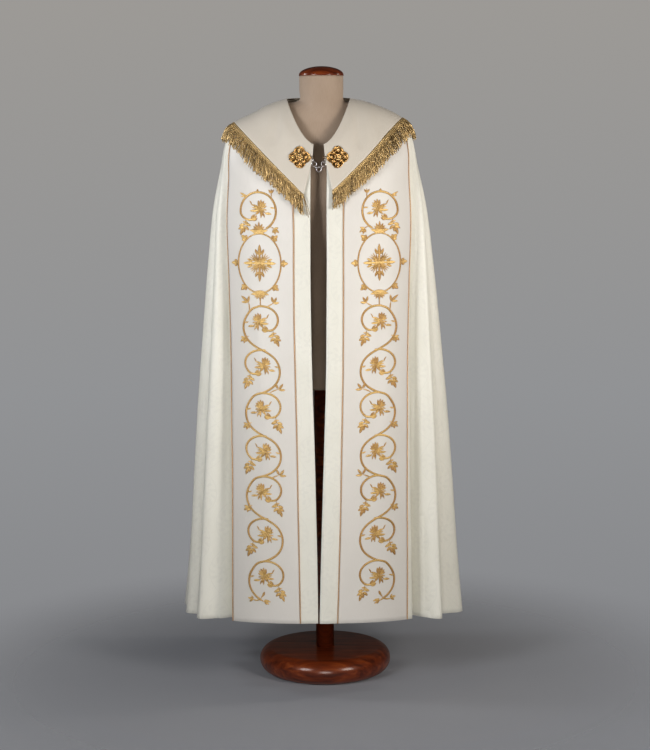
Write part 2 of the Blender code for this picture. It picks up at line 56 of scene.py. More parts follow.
camera.data.lens = LENS_MM
camera.data.shift_x = SHIFT
camera.location = CAMERA_PLACE
tipped = Matrix.Rotation(math.radians(90 - TILT_DEG), 3, "X")
camera.rotation_euler = (tipped @ Matrix.Rotation(math.radians(-ROLL_DEG), 3, "Z")).to_euler()
bpy.context.scene.collection.objects.link(camera)
bpy.context.scene.camera = camera


# ---------------------------------------------------------------- floor, backdrop and lights
# A pale floor that fades into an even grey backdrop. A softbox with a grid stands on each side of the
# camera, and a low one lights the hem. Narrow strips at the two sides rim the shoulders, the neck and the
# foot, and a weak fill stands behind, which nothing reflects.
def add_node(tree, kind, inputs=(), **settings):
    """A shader node with its settings, and with each input set to a value or linked to a socket."""
    made = tree.nodes.new(kind)
    for key, value in settings.items():
        setattr(made, key, value)
    for key, value in dict(inputs).items():
        if isinstance(value, bpy.types.NodeSocket):
            tree.links.new(value, made.inputs[key])
        else:
            made.inputs[key].default_value = value
    return made


def calc(tree, operation, *values, clamp=False):
    """The output of a Math node on values or sockets."""
    return add_node(tree, "ShaderNodeMath", dict(enumerate(values)), operation=operation,
                    use_clamp=clamp).outputs[0]


def noise(tree, place, scale, detail, dimensions="2D", **inputs):
    """The strength of an uneven pattern at a place."""
    inputs = {"Vector": place, "Scale": scale, "Detail": detail, **inputs}
    return add_node(tree, "ShaderNodeTexNoise", inputs, noise_dimensions=dimensions).outputs["Fac"]


def ramp(tree, factor, *stops):
    """A colour ramp of (place, colour) stops, read at a factor."""
    made = add_node(tree, "ShaderNodeValToRGB", {"Fac": factor})
    while len(made.color_ramp.elements) < len(stops):
        made.color_ramp.elements.new(0.5)
    for element, (place, colour) in zip(made.color_ramp.elements, stops):
        element.position = place
        element.color = (*colour, 1.0)
    return made.outputs["Color"]


def new_material(name, roughness, metallic=0.0, **sockets):
    """A material with one Principled shader: (material, node tree, shader)."""
    made = bpy.data.materials.new(name)
    made.use_nodes = True
    shader = made.node_tree.nodes["Principled BSDF"]
    shader.inputs["Roughness"].default_value = roughness
    shader.inputs["Metallic"].default_value = metallic
    for socket, value in sockets.items():
        shader.inputs[socket.replace("_", " ")].default_value = value
    return made, made.node_tree, shader


def circle(count):
    """Angles equally far apart round a full turn."""
    return np.arange(count) * 2 * math.pi / count


def points_of(*parts):
    """Places from arrays of their x, y and z, or of their u and v, each repeated to the common shape."""
    return np.stack(np.broadcast_arrays(*parts), axis=-1)


FLOOR_RADIUS, FLOOR_FADE, FLOOR_SIDES = 1.3, 0.95, 96
turn = circle(FLOOR_SIDES)
rim = points_of(FLOOR_RADIUS * np.cos(turn), FLOOR_RADIUS * np.sin(turn), 0.0)
floor_mesh = bpy.data.meshes.new("floor")
floor_mesh.from_pydata(rim.tolist(), [], [list(range(FLOOR_SIDES))])
floor = bpy.data.objects.new("floor", floor_mesh)
bpy.context.scene.collection.objects.link(floor)
floor_look, tree, shader = new_material("studio_floor", 0.75, Specular_IOR_Level=0.15,
                                        Base_Color=(0.375, 0.385, 0.42, 1.0))
place = add_node(tree, "ShaderNodeTexCoord").outputs["Object"]
far = add_node(tree, "ShaderNodeVectorMath", {0: place}, operation="LENGTH").outputs["Value"]
fade = add_node(tree, "ShaderNodeMapRange", {
    "Value": far, "From Min": FLOOR_RADIUS - FLOOR_FADE, "From Max": FLOOR_RADIUS, "To Min": 1.0,
    "To Max": 0.0}, interpolation_type="SMOOTHSTEP")
tree.links.new(fade.outputs["Result"], shader.inputs["Alpha"])
floor_mesh.materials.append(floor_look)

world = bpy.data.worlds.new("studio")
bpy.context.scene.world = world
world.use_nodes = True
tree = world.node_tree
# The backdrop's greys, each at its share of the way between two heights of the direction of view, and
# the share of its strength that it has as a light.
BACKDROP = ((0.0, (0.215, 0.219, 0.232)), (0.21, (0.285, 0.290, 0.300)), (0.42, (0.335, 0.322, 0.305)),
            (0.52, (0.300, 0.290, 0.275)), (0.85, (0.16, 0.16, 0.16)))
HORIZON_LOW, HORIZON_HIGH = -0.35, 0.65
BACKDROP_LIGHT = 0.2
height = add_node(tree, "ShaderNodeTexCoord").outputs["Generated"]
height = add_node(tree, "ShaderNodeSeparateXYZ", {0: height}).outputs["Z"]
height = add_node(tree, "ShaderNodeMapRange", {
    "Value": height, "From Min": HORIZON_LOW, "From Max": HORIZON_HIGH}).outputs["Result"]
tree.links.new(ramp(tree, height, *BACKDROP), tree.nodes["Background"].inputs["Color"])
seen = add_node(tree, "ShaderNodeLightPath").outputs["Is Camera Ray"]
tree.links.new(calc(tree, "MULTIPLY_ADD", seen, 1 - BACKDROP_LIGHT, BACKDROP_LIGHT),
               tree.nodes["Background"].inputs["Strength"])

# Lights as (name, place, aim, size, watts, colour, beam in degrees).
for name, spot, aim, size, watts, colour, beam in (
    ("left_softbox", (-1.58, -2.12, 1.62), (0.0, 0.0, 1.36), (0.8, 1.0), 11.7, (0.97, 0.98, 1.0), 95),
    ("left_strip", (-1.6, 0.1, 2.00), (0.0, 0.0, 1.50), (0.3, 0.6), 3.2, (0.97, 0.98, 1.0), 110),
    ("right_softbox", (1.70, -1.98, 1.50), (0.0, 0.0, 1.34), (0.8, 1.0), 12.0, (1.0, 0.955, 0.90), 95),
    ("low_softbox", (0.0, -3.1, 0.65), (0.0, 0.0, 0.30), (0.9, 0.9), 3.4, (1.0, 0.97, 0.93), 75),
    ("right_strip", (1.7, 0.2, 1.75), (0.0, 0.0, 1.50), (0.2, 0.8), 6.5, (1.0, 0.93, 0.84), 180),
    ("back_fill", (0.6, 4.6, 1.2), (0.0, 0.0, 1.0), (3.0, 2.0), 14, (1.0, 1.0, 1.0), 180),
):
    lamp = bpy.data.lights.new(name, "AREA")
    lamp.shape = "RECTANGLE"
    lamp.size, lamp.size_y = size
    lamp.energy = watts
    lamp.color = colour
    lamp.spread = math.radians(beam)
    light = bpy.data.objects.new(name, lamp)
    light.visible_glossy = name != "back_fill"
    light.location = spot
    light.rotation_euler = (Vector(spot) - Vector(aim)).to_track_quat("Z", "Y").to_euler()
    bpy.context.scene.collection.objects.link(light)
bpy.context.scene.view_settings.view_transform = "Standard"


# ---------------------------------------------------------------- cloak halves
# The two halves of the cope are damask, a cream cloth woven with a pattern of its own colour. They hang
# in deep folds from the shoulders, and their edges are turned in and pressed.
RINGS = dict(zip(
    ("run", "front_z", "left_z", "right_z", "back_z", "half_width", "front_depth", "back_depth",
     "edge_x", "inner_deg", "outer_deg", "fold_share", "front_sway"),
    np.array((
        (0.000, 1.450, 1.5690, 1.5690, 1.575, 0.083, 0.128, 0.072, 0.0215, 24.0, 80.0, 0.00, 0.0000),
        (0.050, 1.414, 1.5515, 1.5560, 1.540, 0.130, 0.137, 0.098, 0.0215, 20.0, 78.0, 0.00, 0.0000),
        (0.095, 1.377, 1.5295, 1.5410, 1.503, 0.172, 0.144, 0.120, 0.0215, 18.0, 77.0, 0.00, -0.0005),
        (0.136, 1.343, 1.5125, 1.5230, 1.466, 0.208, 0.151, 0.136, 0.0215, 17.0, 75.8, 0.01, -0.0010),
        (0.175, 1.310, 1.4940, 1.5000, 1.430, 0.235, 0.157, 0.149, 0.0215, 16.0, 73.5, 0.03, -0.0015),
        (0.216, 1.274, 1.4570, 1.4620, 1.390, 0.249, 0.163, 0.160, 0.0215, 15.2, 70.6, 0.07, -0.0020),
        (0.280, 1.218, 1.3950, 1.3970, 1.328, 0.257, 0.171, 0.172, 0.0215, 14.5, 67.2, 0.15, -0.0020),
        (0.380, 1.131, 1.2970, 1.2970, 1.230, 0.270, 0.182, 0.186, 0.0215, 13.8, 63.6, 0.28, -0.0025),
        (0.530, 1.003, 1.1480, 1.1480, 1.083, 0.280, 0.197, 0.202, 0.0205, 13.2, 58.0, 0.42, -0.0030),
        (0.730, 0.838, 0.9480, 0.9480, 0.888, 0.291, 0.215, 0.220, 0.0180, 12.2, 53.1, 0.58, -0.0030),
        (0.930, 0.672, 0.7480, 0.7480, 0.693, 0.302, 0.231, 0.237, 0.0130, 11.1, 50.1, 0.72, -0.0035),
        (1.130, 0.506, 0.5480, 0.5480, 0.500, 0.310, 0.243, 0.252, 0.0085, 10.3, 48.3, 0.85, -0.0050),
        (1.330, 0.339, 0.3450, 0.3450, 0.312, 0.320, 0.252, 0.264, 0.0045, 9.3, 46.6, 0.93, -0.0065),
        (1.500, 0.199, 0.1780, 0.1780, 0.160, 0.332, 0.258, 0.272, 0.0020, 8.4, 44.4, 1.00, -0.0080),
    )).T,
))
CLOTH_X, NECK_TO_HEM = -0.008, 1.500
CLOAK_WALL = 0.0020
# The gap that touching pieces keep, and the step by which slopes are measured.
GAP, NUDGE = 0.0003, 0.0005
SIDES = {"left": -1, "right": 1}
# Folds as (centre, lean, half_width, height), the centre a share of the way from the orphrey to the back
# at the hem. It leans by a share for each metre of run.
FOLDS = {
    "left": ((0.042, 0.008, 0.038, -0.042), (0.146, 0.052, 0.056, 0.042), (0.262, 0.010, 0.065, 0.046),
             (0.400, 0.000, 0.075, 0.055), (0.555, 0.000, 0.080, 0.060), (0.715, 0.000, 0.080, 0.050),
             (0.875, 0.000, 0.080, 0.058)),
    "right": ((0.000, 0.000, 0.130, -0.003), (0.062, 0.018, 0.036, -0.042), (0.112, -0.008, 0.038, 0.047),
              (0.255, 0.000, 0.085, 0.060), (0.425, 0.000, 0.075, 0.058), (0.580, 0.000, 0.080, 0.052),
              (0.735, 0.000, 0.075, 0.060), (0.885, 0.000, 0.075, 0.050)),
}
FOLD_CREST = 0.7
# Soft creases as (centre, lean, half_width, from_run, to_run, depth): a trough where depth is negative.
# The centre is at the crease's upper end, and it leans by a share for each metre of run.
CREASES = {
    "left": ((0.034, 0.008, 0.030, 0.45, 1.50, -0.0090),
             (0.064, 0.010, 0.014, 0.35, 1.50, -0.0040), (0.132, 0.020, 0.010, 0.70, 1.50, -0.0022),
             (0.205, 0.010, 0.016, 0.30, 1.45, -0.0060), (0.330, 0.000, 0.020, 0.30, 1.15, 0.0050),
             (0.455, 0.015, 0.018, 0.60, 1.50, -0.0050), (0.520, 0.000, 0.016, 0.25, 0.90, 0.0045),
             (0.630, -0.015, 0.020, 0.50, 1.50, 0.0060), (0.760, 0.010, 0.018, 0.35, 1.10, -0.0050),
             (0.830, 0.000, 0.016, 0.70, 1.50, 0.0050), (0.950, 0.000, 0.014, 0.45, 1.25, -0.0035),
             (-0.300, -0.020, 0.060, 0.85, 1.50, -0.0018), (-0.180, 0.020, 0.050, 0.45, 1.15, 0.0012),
             (-0.520, -0.010, 0.070, 1.00, 1.50, 0.0018)),
    "right": ((0.043, 0.018, 0.028, 0.45, 1.50, -0.0100),
              (0.078, -0.004, 0.012, 0.45, 1.50, -0.0040), (0.165, 0.004, 0.014, 0.28, 1.50, -0.0060),
              (0.215, 0.000, 0.018, 0.25, 1.50, -0.0050), (0.330, 0.020, 0.020, 0.50, 1.50, 0.0050),
              (0.470, -0.010, 0.018, 0.30, 0.95, -0.0050), (0.545, 0.010, 0.016, 0.75, 1.50, 0.0060),
              (0.650, 0.000, 0.020, 0.40, 1.20, -0.0055), (0.800, 0.015, 0.018, 0.55, 1.50, 0.0050),
              (0.920, -0.010, 0.016, 0.35, 1.05, -0.0040), (-0.330, 0.030, 0.060, 0.95, 1.50, 0.0018),
              (-0.160, -0.020, 0.050, 0.50, 1.25, -0.0012), (-0.560, 0.010, 0.070, 1.05, 1.50, -0.0018)),
}
CREASE_FADE = 0.18


def smooth(places, known_places, known_values):
    """Cubic Hermite curve through the known values, with its slopes taken from their neighbours."""
    known_places, known_values = np.asarray(known_places), np.asarray(known_values)
    slopes = np.gradient(known_values, known_places)
    left = np.clip(np.searchsorted(known_places, places, side="right") - 1, 0, len(known_places) - 2)
    step = known_places[left + 1] - known_places[left]
    s = (places - known_places[left]) / step
    values = known_values[left] * (1 + 2 * s) * (1 - s) ** 2
    values += known_values[left + 1] * s * s * (3 - 2 * s)
    values += slopes[left] * step * s * (1 - s) ** 2
    values += slopes[left + 1] * step * s * s * (s - 1)
    return values


def ring(column, run):
    """One size of the drape at a run, from the RINGS table."""
    return smooth(run, RINGS["run"], RINGS[column])


def unit(vectors):
    """The vectors made one long."""
    return vectors / np.linalg.norm(vectors, axis=-1, keepdims=True)


def lengths_along(points, axis=0):
    """How far each point of a line, or of each line of a grid, is along it from its first point."""
    steps = np.linalg.norm(np.diff(points, axis=axis), axis=-1)
    start = np.zeros_like(steps.take([0], axis=axis))
    return np.concatenate([start, np.cumsum(steps, axis=axis)], axis=axis)


def drape(angle, run, push=0.0):
    """Half ellipses round the body: x is half_width times the sine of the angle, y is depth times its
    cosine, and z goes from the centre's height to the side's by cosine and sine squared. The push is
    straight out, level."""
    half_width = ring("half_width", run)
    front = np.cos(angle) < 0
    depth = np.where(front, ring("front_depth", run), ring("back_depth", run))
    centre_z = np.where(front, ring("front_z", run), ring("back_z", run))
    out_x, out_y = np.sin(angle) * depth, np.cos(angle) * half_width
    push = push / np.hypot(out_x, out_y)
    sway = np.where(front, ring("front_sway", run), 0.0) * np.cos(angle) ** 2
    side_z = np.where(np.sin(angle) < 0, ring("left_z", run), ring("right_z", run))
    return points_of(CLOTH_X + sway + half_width * np.sin(angle) + push * out_x,
                     depth * np.cos(angle) + push * out_y,
                     centre_z * np.cos(angle) ** 2 + side_z * np.sin(angle) ** 2)


def lifted(surface, place, run, lift):
    """Points of a surface moved along its normal, away from the body."""
    point = surface(place, run)
    over = surface(place + NUDGE, run) - surface(place - NUDGE, run)
    down = surface(place, run + NUDGE) - surface(place, run - NUDGE)
    normal = np.cross(over, down)
    outward = normal[..., 0] * (point[..., 0] - CLOTH_X) + normal[..., 1] * point[..., 1]
    scale = lift * np.sign(outward) / np.linalg.norm(normal, axis=-1)
    return point + normal * scale[..., None]


def front_angle(across, run):
    """Angle from the front of a place across one half: 0 at the front edge, 1 and 2 at the orphrey's
    inner and outer edges, 3 at the centre back, and straight between them."""
    edge = np.arcsin(ring("edge_x", run) / ring("half_width", run))
    inner = np.radians(ring("inner_deg", run))
    outer = np.radians(ring("outer_deg", run))
    strip = edge + (inner - edge) * across
    band = inner + (outer - inner) * (across - 1)
    rest = outer + (math.pi - outer) * (across - 2)
    return np.where(across < 1, strip, np.where(across < 2, band, rest))


def crest(offset, half_width):
    """A raised cosine: 1 in the middle, and 0 from half a width away."""
    return 0.5 + 0.5 * np.cos(math.pi * np.clip(offset / half_width, -1, 1))


def eased(share):
    """A share that leaves 0 and comes to 1 gently: three times its square less twice its cube."""
    share = np.clip(share, 0, 1)
    return share * share * (3 - 2 * share)


def fold_push(word, angle, run):
    """Folds are raised cosines with a broad crest that deepen down to the hem. Creases are narrow raised
    cosines that fade in along the run, and out again unless they reach the hem."""
    outer = np.radians(ring("outer_deg", run))
    place = (angle - outer) / (math.pi - outer)
    push = 0.0
    for centre, lean, half_width, height in FOLDS[word]:
        offset = place - centre - lean * (run - NECK_TO_HEM)
        push = push + height * crest(offset, half_width) ** FOLD_CREST
    push = push * ring("fold_share", run)
    for centre, lean, half_width, upper, lower, depth in CREASES[word]:
        ends = eased((lower - run) / CREASE_FADE) if lower < NECK_TO_HEM else 1.0
        along = eased((run - upper) / CREASE_FADE) * ends
        push = push + depth * along * crest(place - centre - lean * (run - upper), half_width)
    return push


def cloak_surface(word):
    """The cloth of one half as a function of its angle from the front and its run."""
    return lambda angle, run: drape(SIDES[word] * (math.pi - angle), run, fold_push(word, angle, run))


def on_half(word, angle, run, lift):
    """Points at a height over the cloth of one half, which stays half a gap clear of the middle."""
    return lifted(cloak_surface(word), angle, run, lift) + [SIDES[word] * GAP / 2, 0.0, 0.0]


def grid_faces(rows, columns, first=0, closed=False):
    """Four-cornered faces of a grid of points that are numbered row by row, its last column joined to
    its first where the grid is closed."""
    index = first + np.arange(rows * columns).reshape(rows, columns)
    beside = np.roll(index, -1, axis=1)
    quads = np.stack([index[:-1], beside[:-1], beside[1:], index[1:]], axis=-1)
    return (quads if closed else quads[:, :-1]).reshape(-1, 4)


def new_piece(name, points, faces, look, uv=None, edge=None):
    """A mesh with its faces turned so that its volume is positive, on the body that carries the cope. The
    uv is in metres of cloth, thread or metal. The edge attribute is the painted shade of a stitch, up to 1
    where it dives into the cloth, or how far a point of a clasp is raised, which paints a highlight on it."""
    points = np.asarray(points, float).reshape(-1, 3)
    a, b, c, d = (points[faces[:, k]] for k in range(4))
    if np.einsum("ij,ij->", a, np.cross(b, c) + np.cross(c, d)) < 0:
        faces = faces[:, ::-1]
    mesh = bpy.data.meshes.new(name)
    mesh.from_pydata(points.tolist(), [], faces.tolist())
    corners = np.empty(len(mesh.loops), np.int32)
    mesh.loops.foreach_get("vertex_index", corners)
    if uv is not None:
        layer = mesh.uv_layers.new(name="flat")
        layer.data.foreach_set("uv", np.asarray(uv, np.float32).reshape(-1, 2)[corners].ravel())
    if edge is not None:
        layer = mesh.attributes.new("edge", "FLOAT", "POINT")
        layer.data.foreach_set("value", np.asarray(edge, np.float32).ravel())
    mesh.materials.append(look)
    mesh.shade_smooth()
    piece = bpy.data.objects.new(name, mesh)
    bpy.context.scene.collection.objects.link(piece)
    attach(piece, "root")
    return piece


# The most that a straight strip widens for each metre of run, and the least run from a ring's centre.
STRAIGHT_CUT, LEAST_REACH = 0.05, 0.05


def flat_layout(middle):
    """Where each point of a cloth grid lies on the flat cut. A cut that widens is a piece of a ring: the
    run from the ring's centre, turned by the length along the row over that run."""
    rows = lengths_along(middle, axis=1)
    run = lengths_along(middle).mean(axis=1)
    slope, narrowest = np.polyfit(run, rows[:, -1], 1)
    if slope < STRAIGHT_CUT:
        return points_of(rows - rows[:, -1:] / 2, -run[:, None])
    reach = (run + max(narrowest / slope, LEAST_REACH))[:, None]
    swing = (rows - rows[:, -1:] / 2) / reach
    return points_of(reach * np.sin(swing), -reach * np.cos(swing))


def cloth_wall(name, inner, outer, look, bulge=0.0005):
    """A wall of cloth between two grids of points, with a rounded edge all round: the rim's middle line
    stands out past the two faces."""
    rows, columns = inner.shape[:2]
    index = np.arange(rows * columns).reshape(rows, columns)
    round_it = np.concatenate([index[0], index[1:, -1], index[-1, -2::-1], index[-2:0:-1, 0]])
    row, column = round_it // columns, round_it % columns
    inward = index[np.clip(row, 1, rows - 2), np.clip(column, 1, columns - 2)]
    inside, outside = inner.reshape(-1, 3), outer.reshape(-1, 3)
    away = unit(outside[round_it] - outside[inward])
    middle = (inside[round_it] + outside[round_it]) / 2 + away * bulge
    count = rows * columns
    rim = np.stack([round_it, 2 * count + np.arange(len(round_it)), count + round_it])
    after = np.roll(rim, -1, axis=1)
    edges = [np.stack([rim[k], rim[k + 1], after[k + 1], after[k]], axis=1) for k in (0, 1)]
    face = grid_faces(rows, columns)
    faces = np.concatenate([face, face[:, ::-1] + count, *edges])
    layout = flat_layout((inner + outer) / 2).reshape(-1, 2)
    uv = np.concatenate([layout, layout, layout[round_it]])
    return new_piece(name, np.concatenate([inside, outside, middle]), faces, look, uv)


def new_group(name, given, made):
    """A node group with named inputs and outputs: (group, what it is given, where its results go)."""
    group = bpy.data.node_groups.new(name, "ShaderNodeTree")
    for side, names in (("INPUT", given), ("OUTPUT", made)):
        for socket in names:
            kind = "NodeSocketVector" if socket == "Place" else "NodeSocketFloat"
            group.interface.new_socket(socket, in_out=side, socket_type=kind)
    return group, add_node(group, "NodeGroupInput").outputs, add_node(group, "NodeGroupOutput").inputs


def weave_group():
    """Node group for close-woven cloth: crossed threads with uneven slubs, from a place in metres."""
    group, given, result = new_group("woven_threads", ("Place", "Threads", "Float"), ("Height", "Slub"))
    op = partial(calc, group)
    split = add_node(group, "ShaderNodeSeparateXYZ", {0: given["Place"]}).outputs
    turns = op("MULTIPLY", given["Threads"], 2 * math.pi)
    warp = op("SINE", op("MULTIPLY", split["X"], turns))
    weft = op("SINE", op("MULTIPLY", split["Y"], op("DIVIDE", turns, given["Float"])))
    crossed = op("MULTIPLY_ADD", op("MULTIPLY", warp, weft), 0.35, 0.5)
    stretch = add_node(group, "ShaderNodeMapping", {"Vector": given["Place"], "Scale": (900, 60, 1)})
    slub = noise(group, stretch.outputs[0], 1.0, 2.0)
    group.links.new(op("ADD", crossed, op("MULTIPLY", slub, 0.4)), result["Height"])
    group.links.new(slub, result["Slub"])
    return group


def damask_group():
    """Node group for the woven figure: pointed ovals in a half-drop repeat, each with a five-lobed
    flower and a ring of leaves worked out from the angle and distance to the repeat's centre."""
    group, given, result = new_group("damask_figure", ("Place",), ("Figure",))
    op = partial(calc, group)
    wide, tall = 0.085, 0.130
    # Sizes as shares of the repeat's width.
    flower_reach, lobe_depth, eye_reach = 0.150, 0.060, 0.045
    ring_reach, ring_half, oval_reach, oval_half = 0.36, 0.085, 0.56, 0.022
    split = add_node(group, "ShaderNodeSeparateXYZ", {0: given["Place"]}).outputs
    along = op("DIVIDE", split["X"], wide)
    drop = op("MULTIPLY", op("FLOORED_MODULO", op("FLOOR", along), 2.0), 0.5)
    down = op("ADD", op("DIVIDE", split["Y"], tall), drop)
    u = op("SUBTRACT", op("FRACT", along), 0.5)
    v = op("MULTIPLY", op("SUBTRACT", op("FRACT", down), 0.5), tall / wide)
    far = op("SQRT", op("ADD", op("MULTIPLY", u, u), op("MULTIPLY", v, v)))
    angle = op("ARCTAN2", u, v)
    lobes = op("COSINE", op("MULTIPLY", angle, 5.0))
    flower = op("LESS_THAN", far, op("MULTIPLY_ADD", lobes, lobe_depth, flower_reach))
    eye = op("LESS_THAN", far, eye_reach)
    leaves = op("COSINE", op("MULTIPLY_ADD", angle, 11.0, op("MULTIPLY", far, 14.0)))
    band = op("LESS_THAN", op("ABSOLUTE", op("SUBTRACT", far, ring_reach)), ring_half)
    leaf = op("MULTIPLY", band, op("GREATER_THAN", leaves, 0.15))
    reach = op("ADD", op("ABSOLUTE", op("MULTIPLY", u, 1.25)), op("POWER", op("ABSOLUTE", v), 2.0))
    oval_line = op("LESS_THAN", op("ABSOLUTE", op("SUBTRACT", reach, oval_reach)), oval_half)
    figure = op("SUBTRACT", op("MAXIMUM", flower, op("MAXIMUM", leaf, oval_line)), eye)
    faded = op("MULTIPLY_ADD", noise(group, given["Place"], 18.0, 1.0), 0.7, 0.55)
    group.links.new(op("MULTIPLY", figure, faded, clamp=True), result["Figure"])
    return group


woven_threads, damask_figure = weave_group(), damask_group()


def cloth_material(name, ground, shade, roughness, threads, long_float, figured=0.0, sheen=0.25):
    """Woven cloth: a ground colour that the slubs shade a little, a fine bump, and for damask a figure
    that is a little darker and smoother than its ground."""
    look, tree, shader = new_material(name, roughness, Sheen_Weight=sheen, Sheen_Roughness=0.4)
    op = partial(calc, tree)
    place = add_node(tree, "ShaderNodeUVMap", uv_map="flat").outputs["UV"]
    woven = add_node(tree, "ShaderNodeGroup", {"Place": place, "Threads": threads, "Float": long_float},
                     node_tree=woven_threads).outputs
    broad = noise(tree, place, 9.0, 3.0)
    dull = op("MULTIPLY_ADD", woven["Slub"], 0.5, op("MULTIPLY", broad, 0.5))
    colour = ramp(tree, dull, (0.30, ground), (0.72, shade))
    high = woven["Height"]
    rough = op("MULTIPLY_ADD", broad, 0.10, roughness - 0.05)
    if figured:
        figure = add_node(tree, "ShaderNodeGroup", {"Place": place}, node_tree=damask_figure).outputs[0]
        darker = (*(0.90 * np.array(ground)), 1.0)
        mixed = {0: op("MULTIPLY", figure, figured), 6: colour, 7: darker}
        colour = add_node(tree, "ShaderNodeMix", mixed, data_type="RGBA").outputs[2]
        rough = op("MULTIPLY_ADD", figure, -0.16, rough)
        high = op("MULTIPLY_ADD", figure, 0.8, high)
    bump = add_node(tree, "ShaderNodeBump", {"Height": high, "Strength": 0.35, "Distance": 0.00018})
    tree.links.new(colour, shader.inputs["Base Color"])
    tree.links.new(rough, shader.inputs["Roughness"])
    tree.links.new(bump.outputs["Normal"], shader.inputs["Normal"])
    return look


damask = cloth_material("damask_cloth", (0.80, 0.785, 0.705), (0.74, 0.725, 0.640), 0.50, 2600, 5.0,
                        figured=0.55)
# Rows and columns of the cloth's grid. The rows lie a little closer towards the hem.
CLOAK_ROWS, ROW_SPREAD = 110, 0.93
STRIP_COLUMNS, BAND_COLUMNS, FOLD_COLUMNS = 6, 24, 222
for word in SIDES:
    runs = NECK_TO_HEM * (np.linspace(0, 1, CLOAK_ROWS) ** ROW_SPREAD)[:, None]
    across = np.concatenate([np.linspace(0, 1, STRIP_COLUMNS, endpoint=False),
                             np.linspace(1, 2, BAND_COLUMNS, endpoint=False),
                             np.linspace(2, 3, FOLD_COLUMNS)])
    angles = front_angle(across, runs)
    cloak = cloth_wall("cope_half_" + word, on_half(word, angles, runs, 0.0),
                       on_half(word, angles, runs, CLOAK_WALL), damask)
    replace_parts(cloak, "cloak_" + word)


# ---------------------------------------------------------------- orphreys
# A straight band of heavy satin laid on each half from the neckline to the hem, its long edges held
# down under the gold cord.
ORPHREY_WALL = 0.0012
ORPHREY_LOW = CLOAK_WALL + GAP
ORPHREY_TOP = ORPHREY_LOW + ORPHREY_WALL
PIPING_RADIUS, PIPING_SEAM = 0.0016, 0.0009
ORPHREY_COLUMNS = 44
satin = cloth_material("ivory_satin", (0.713, 0.681, 0.635), (0.676, 0.644, 0.593), 0.46, 3000, 6.0,
                       sheen=1.0)


def drawn_in(grid, distance):
    """The grid with its first and last columns moved towards their neighbours by a distance."""
    grid = grid.copy()
    for edge, beside in ((0, 1), (-1, -2)):
        grid[:, edge] += distance * unit(grid[:, beside] - grid[:, edge])
    return grid


for word in SIDES:
    runs = np.linspace(0, NECK_TO_HEM, CLOAK_ROWS)[:, None]
    angles = front_angle(np.linspace(1, 2, ORPHREY_COLUMNS), runs)
    under, over = (drawn_in(on_half(word, angles, runs, lift), PIPING_RADIUS + PIPING_SEAM)
                   for lift in (ORPHREY_LOW, ORPHREY_TOP))
    orphrey = cloth_wall("orphrey_band_" + word, under, over, satin, bulge=0.0003)
    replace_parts(orphrey, "orphrey_" + word)


# ---------------------------------------------------------------- gold cord along the orphreys
# A hard twist of three copper-gold threads couched along both edges of each orphrey.
def thread_group():
    """Node group for metal thread: fine turns along the first axis of the uv, with painted shade between
    them, and a slow change of tone from length to length."""
    group, given, result = new_group("metal_thread", ("Place", "Turns", "Slant"), ("Height", "Groove_Shade_And_Tone"))
    op = partial(calc, group)
    split = add_node(group, "ShaderNodeSeparateXYZ", {0: given["Place"]}).outputs
    slanted = op("MULTIPLY_ADD", split["Y"], given["Slant"], split["X"])
    turns = op("MULTIPLY", slanted, op("MULTIPLY", given["Turns"], 2 * math.pi))
    wave = op("MULTIPLY_ADD", op("SINE", turns), 0.5, 0.5)
    uneven = noise(group, given["Place"], 320.0, 2.0)
    group.links.new(wave, result["Height"])
    # The wave of the turns paints shade between them; the noise is the thread's own uneven tone.
    group.links.new(op("MULTIPLY_ADD", wave, 0.45, op("MULTIPLY", uneven, 0.55)), result["Groove_Shade_And_Tone"])
    return group


metal_thread = thread_group()


def thread_material(name, dark, light, roughness, metallic, turns, slant, depth, painted_shade=0.0, mixed=0.0):
    """Metal thread: a dark and a light tone mixed by the turns of the thread, with painted shade between
    them, by painted shade from the edge attribute where the stitches run upright and where they dive into
    the cloth, and from strand to strand."""
    look, tree, shader = new_material(name, roughness, metallic)
    op = partial(calc, tree)
    place = add_node(tree, "ShaderNodeUVMap", uv_map="flat").outputs["UV"]
    thread = add_node(tree, "ShaderNodeGroup", {"Place": place, "Turns": turns, "Slant": slant},
                      node_tree=metal_thread).outputs
    tone = thread["Groove_Shade_And_Tone"]
    # Painted shade from the edge attribute: upright stitches and the edges of bands are made darker.
    if painted_shade:
        near = add_node(tree, "ShaderNodeAttribute", attribute_name="edge").outputs["Fac"]
        tone = op("SUBTRACT", tone, op("MULTIPLY", near, painted_shade), clamp=True)
    if mixed:
        strand = add_node(tree, "ShaderNodeSeparateXYZ", {0: place}).outputs["Y"]
        own = add_node(tree, "ShaderNodeTexNoise", {"W": strand, "Scale": 23.0, "Detail": 0.0},
                       noise_dimensions="1D").outputs["Fac"]
        tone = op("MULTIPLY_ADD", op("SUBTRACT", own, 0.5), mixed, tone)
    tree.links.new(ramp(tree, tone, (0.15, dark), (0.62, light)), shader.inputs["Base Color"])
    bump = add_node(tree, "ShaderNodeBump", {"Height": thread["Height"], "Strength": 0.5,
                    "Distance": depth})
    tree.links.new(bump.outputs["Normal"], shader.inputs["Normal"])
    return look


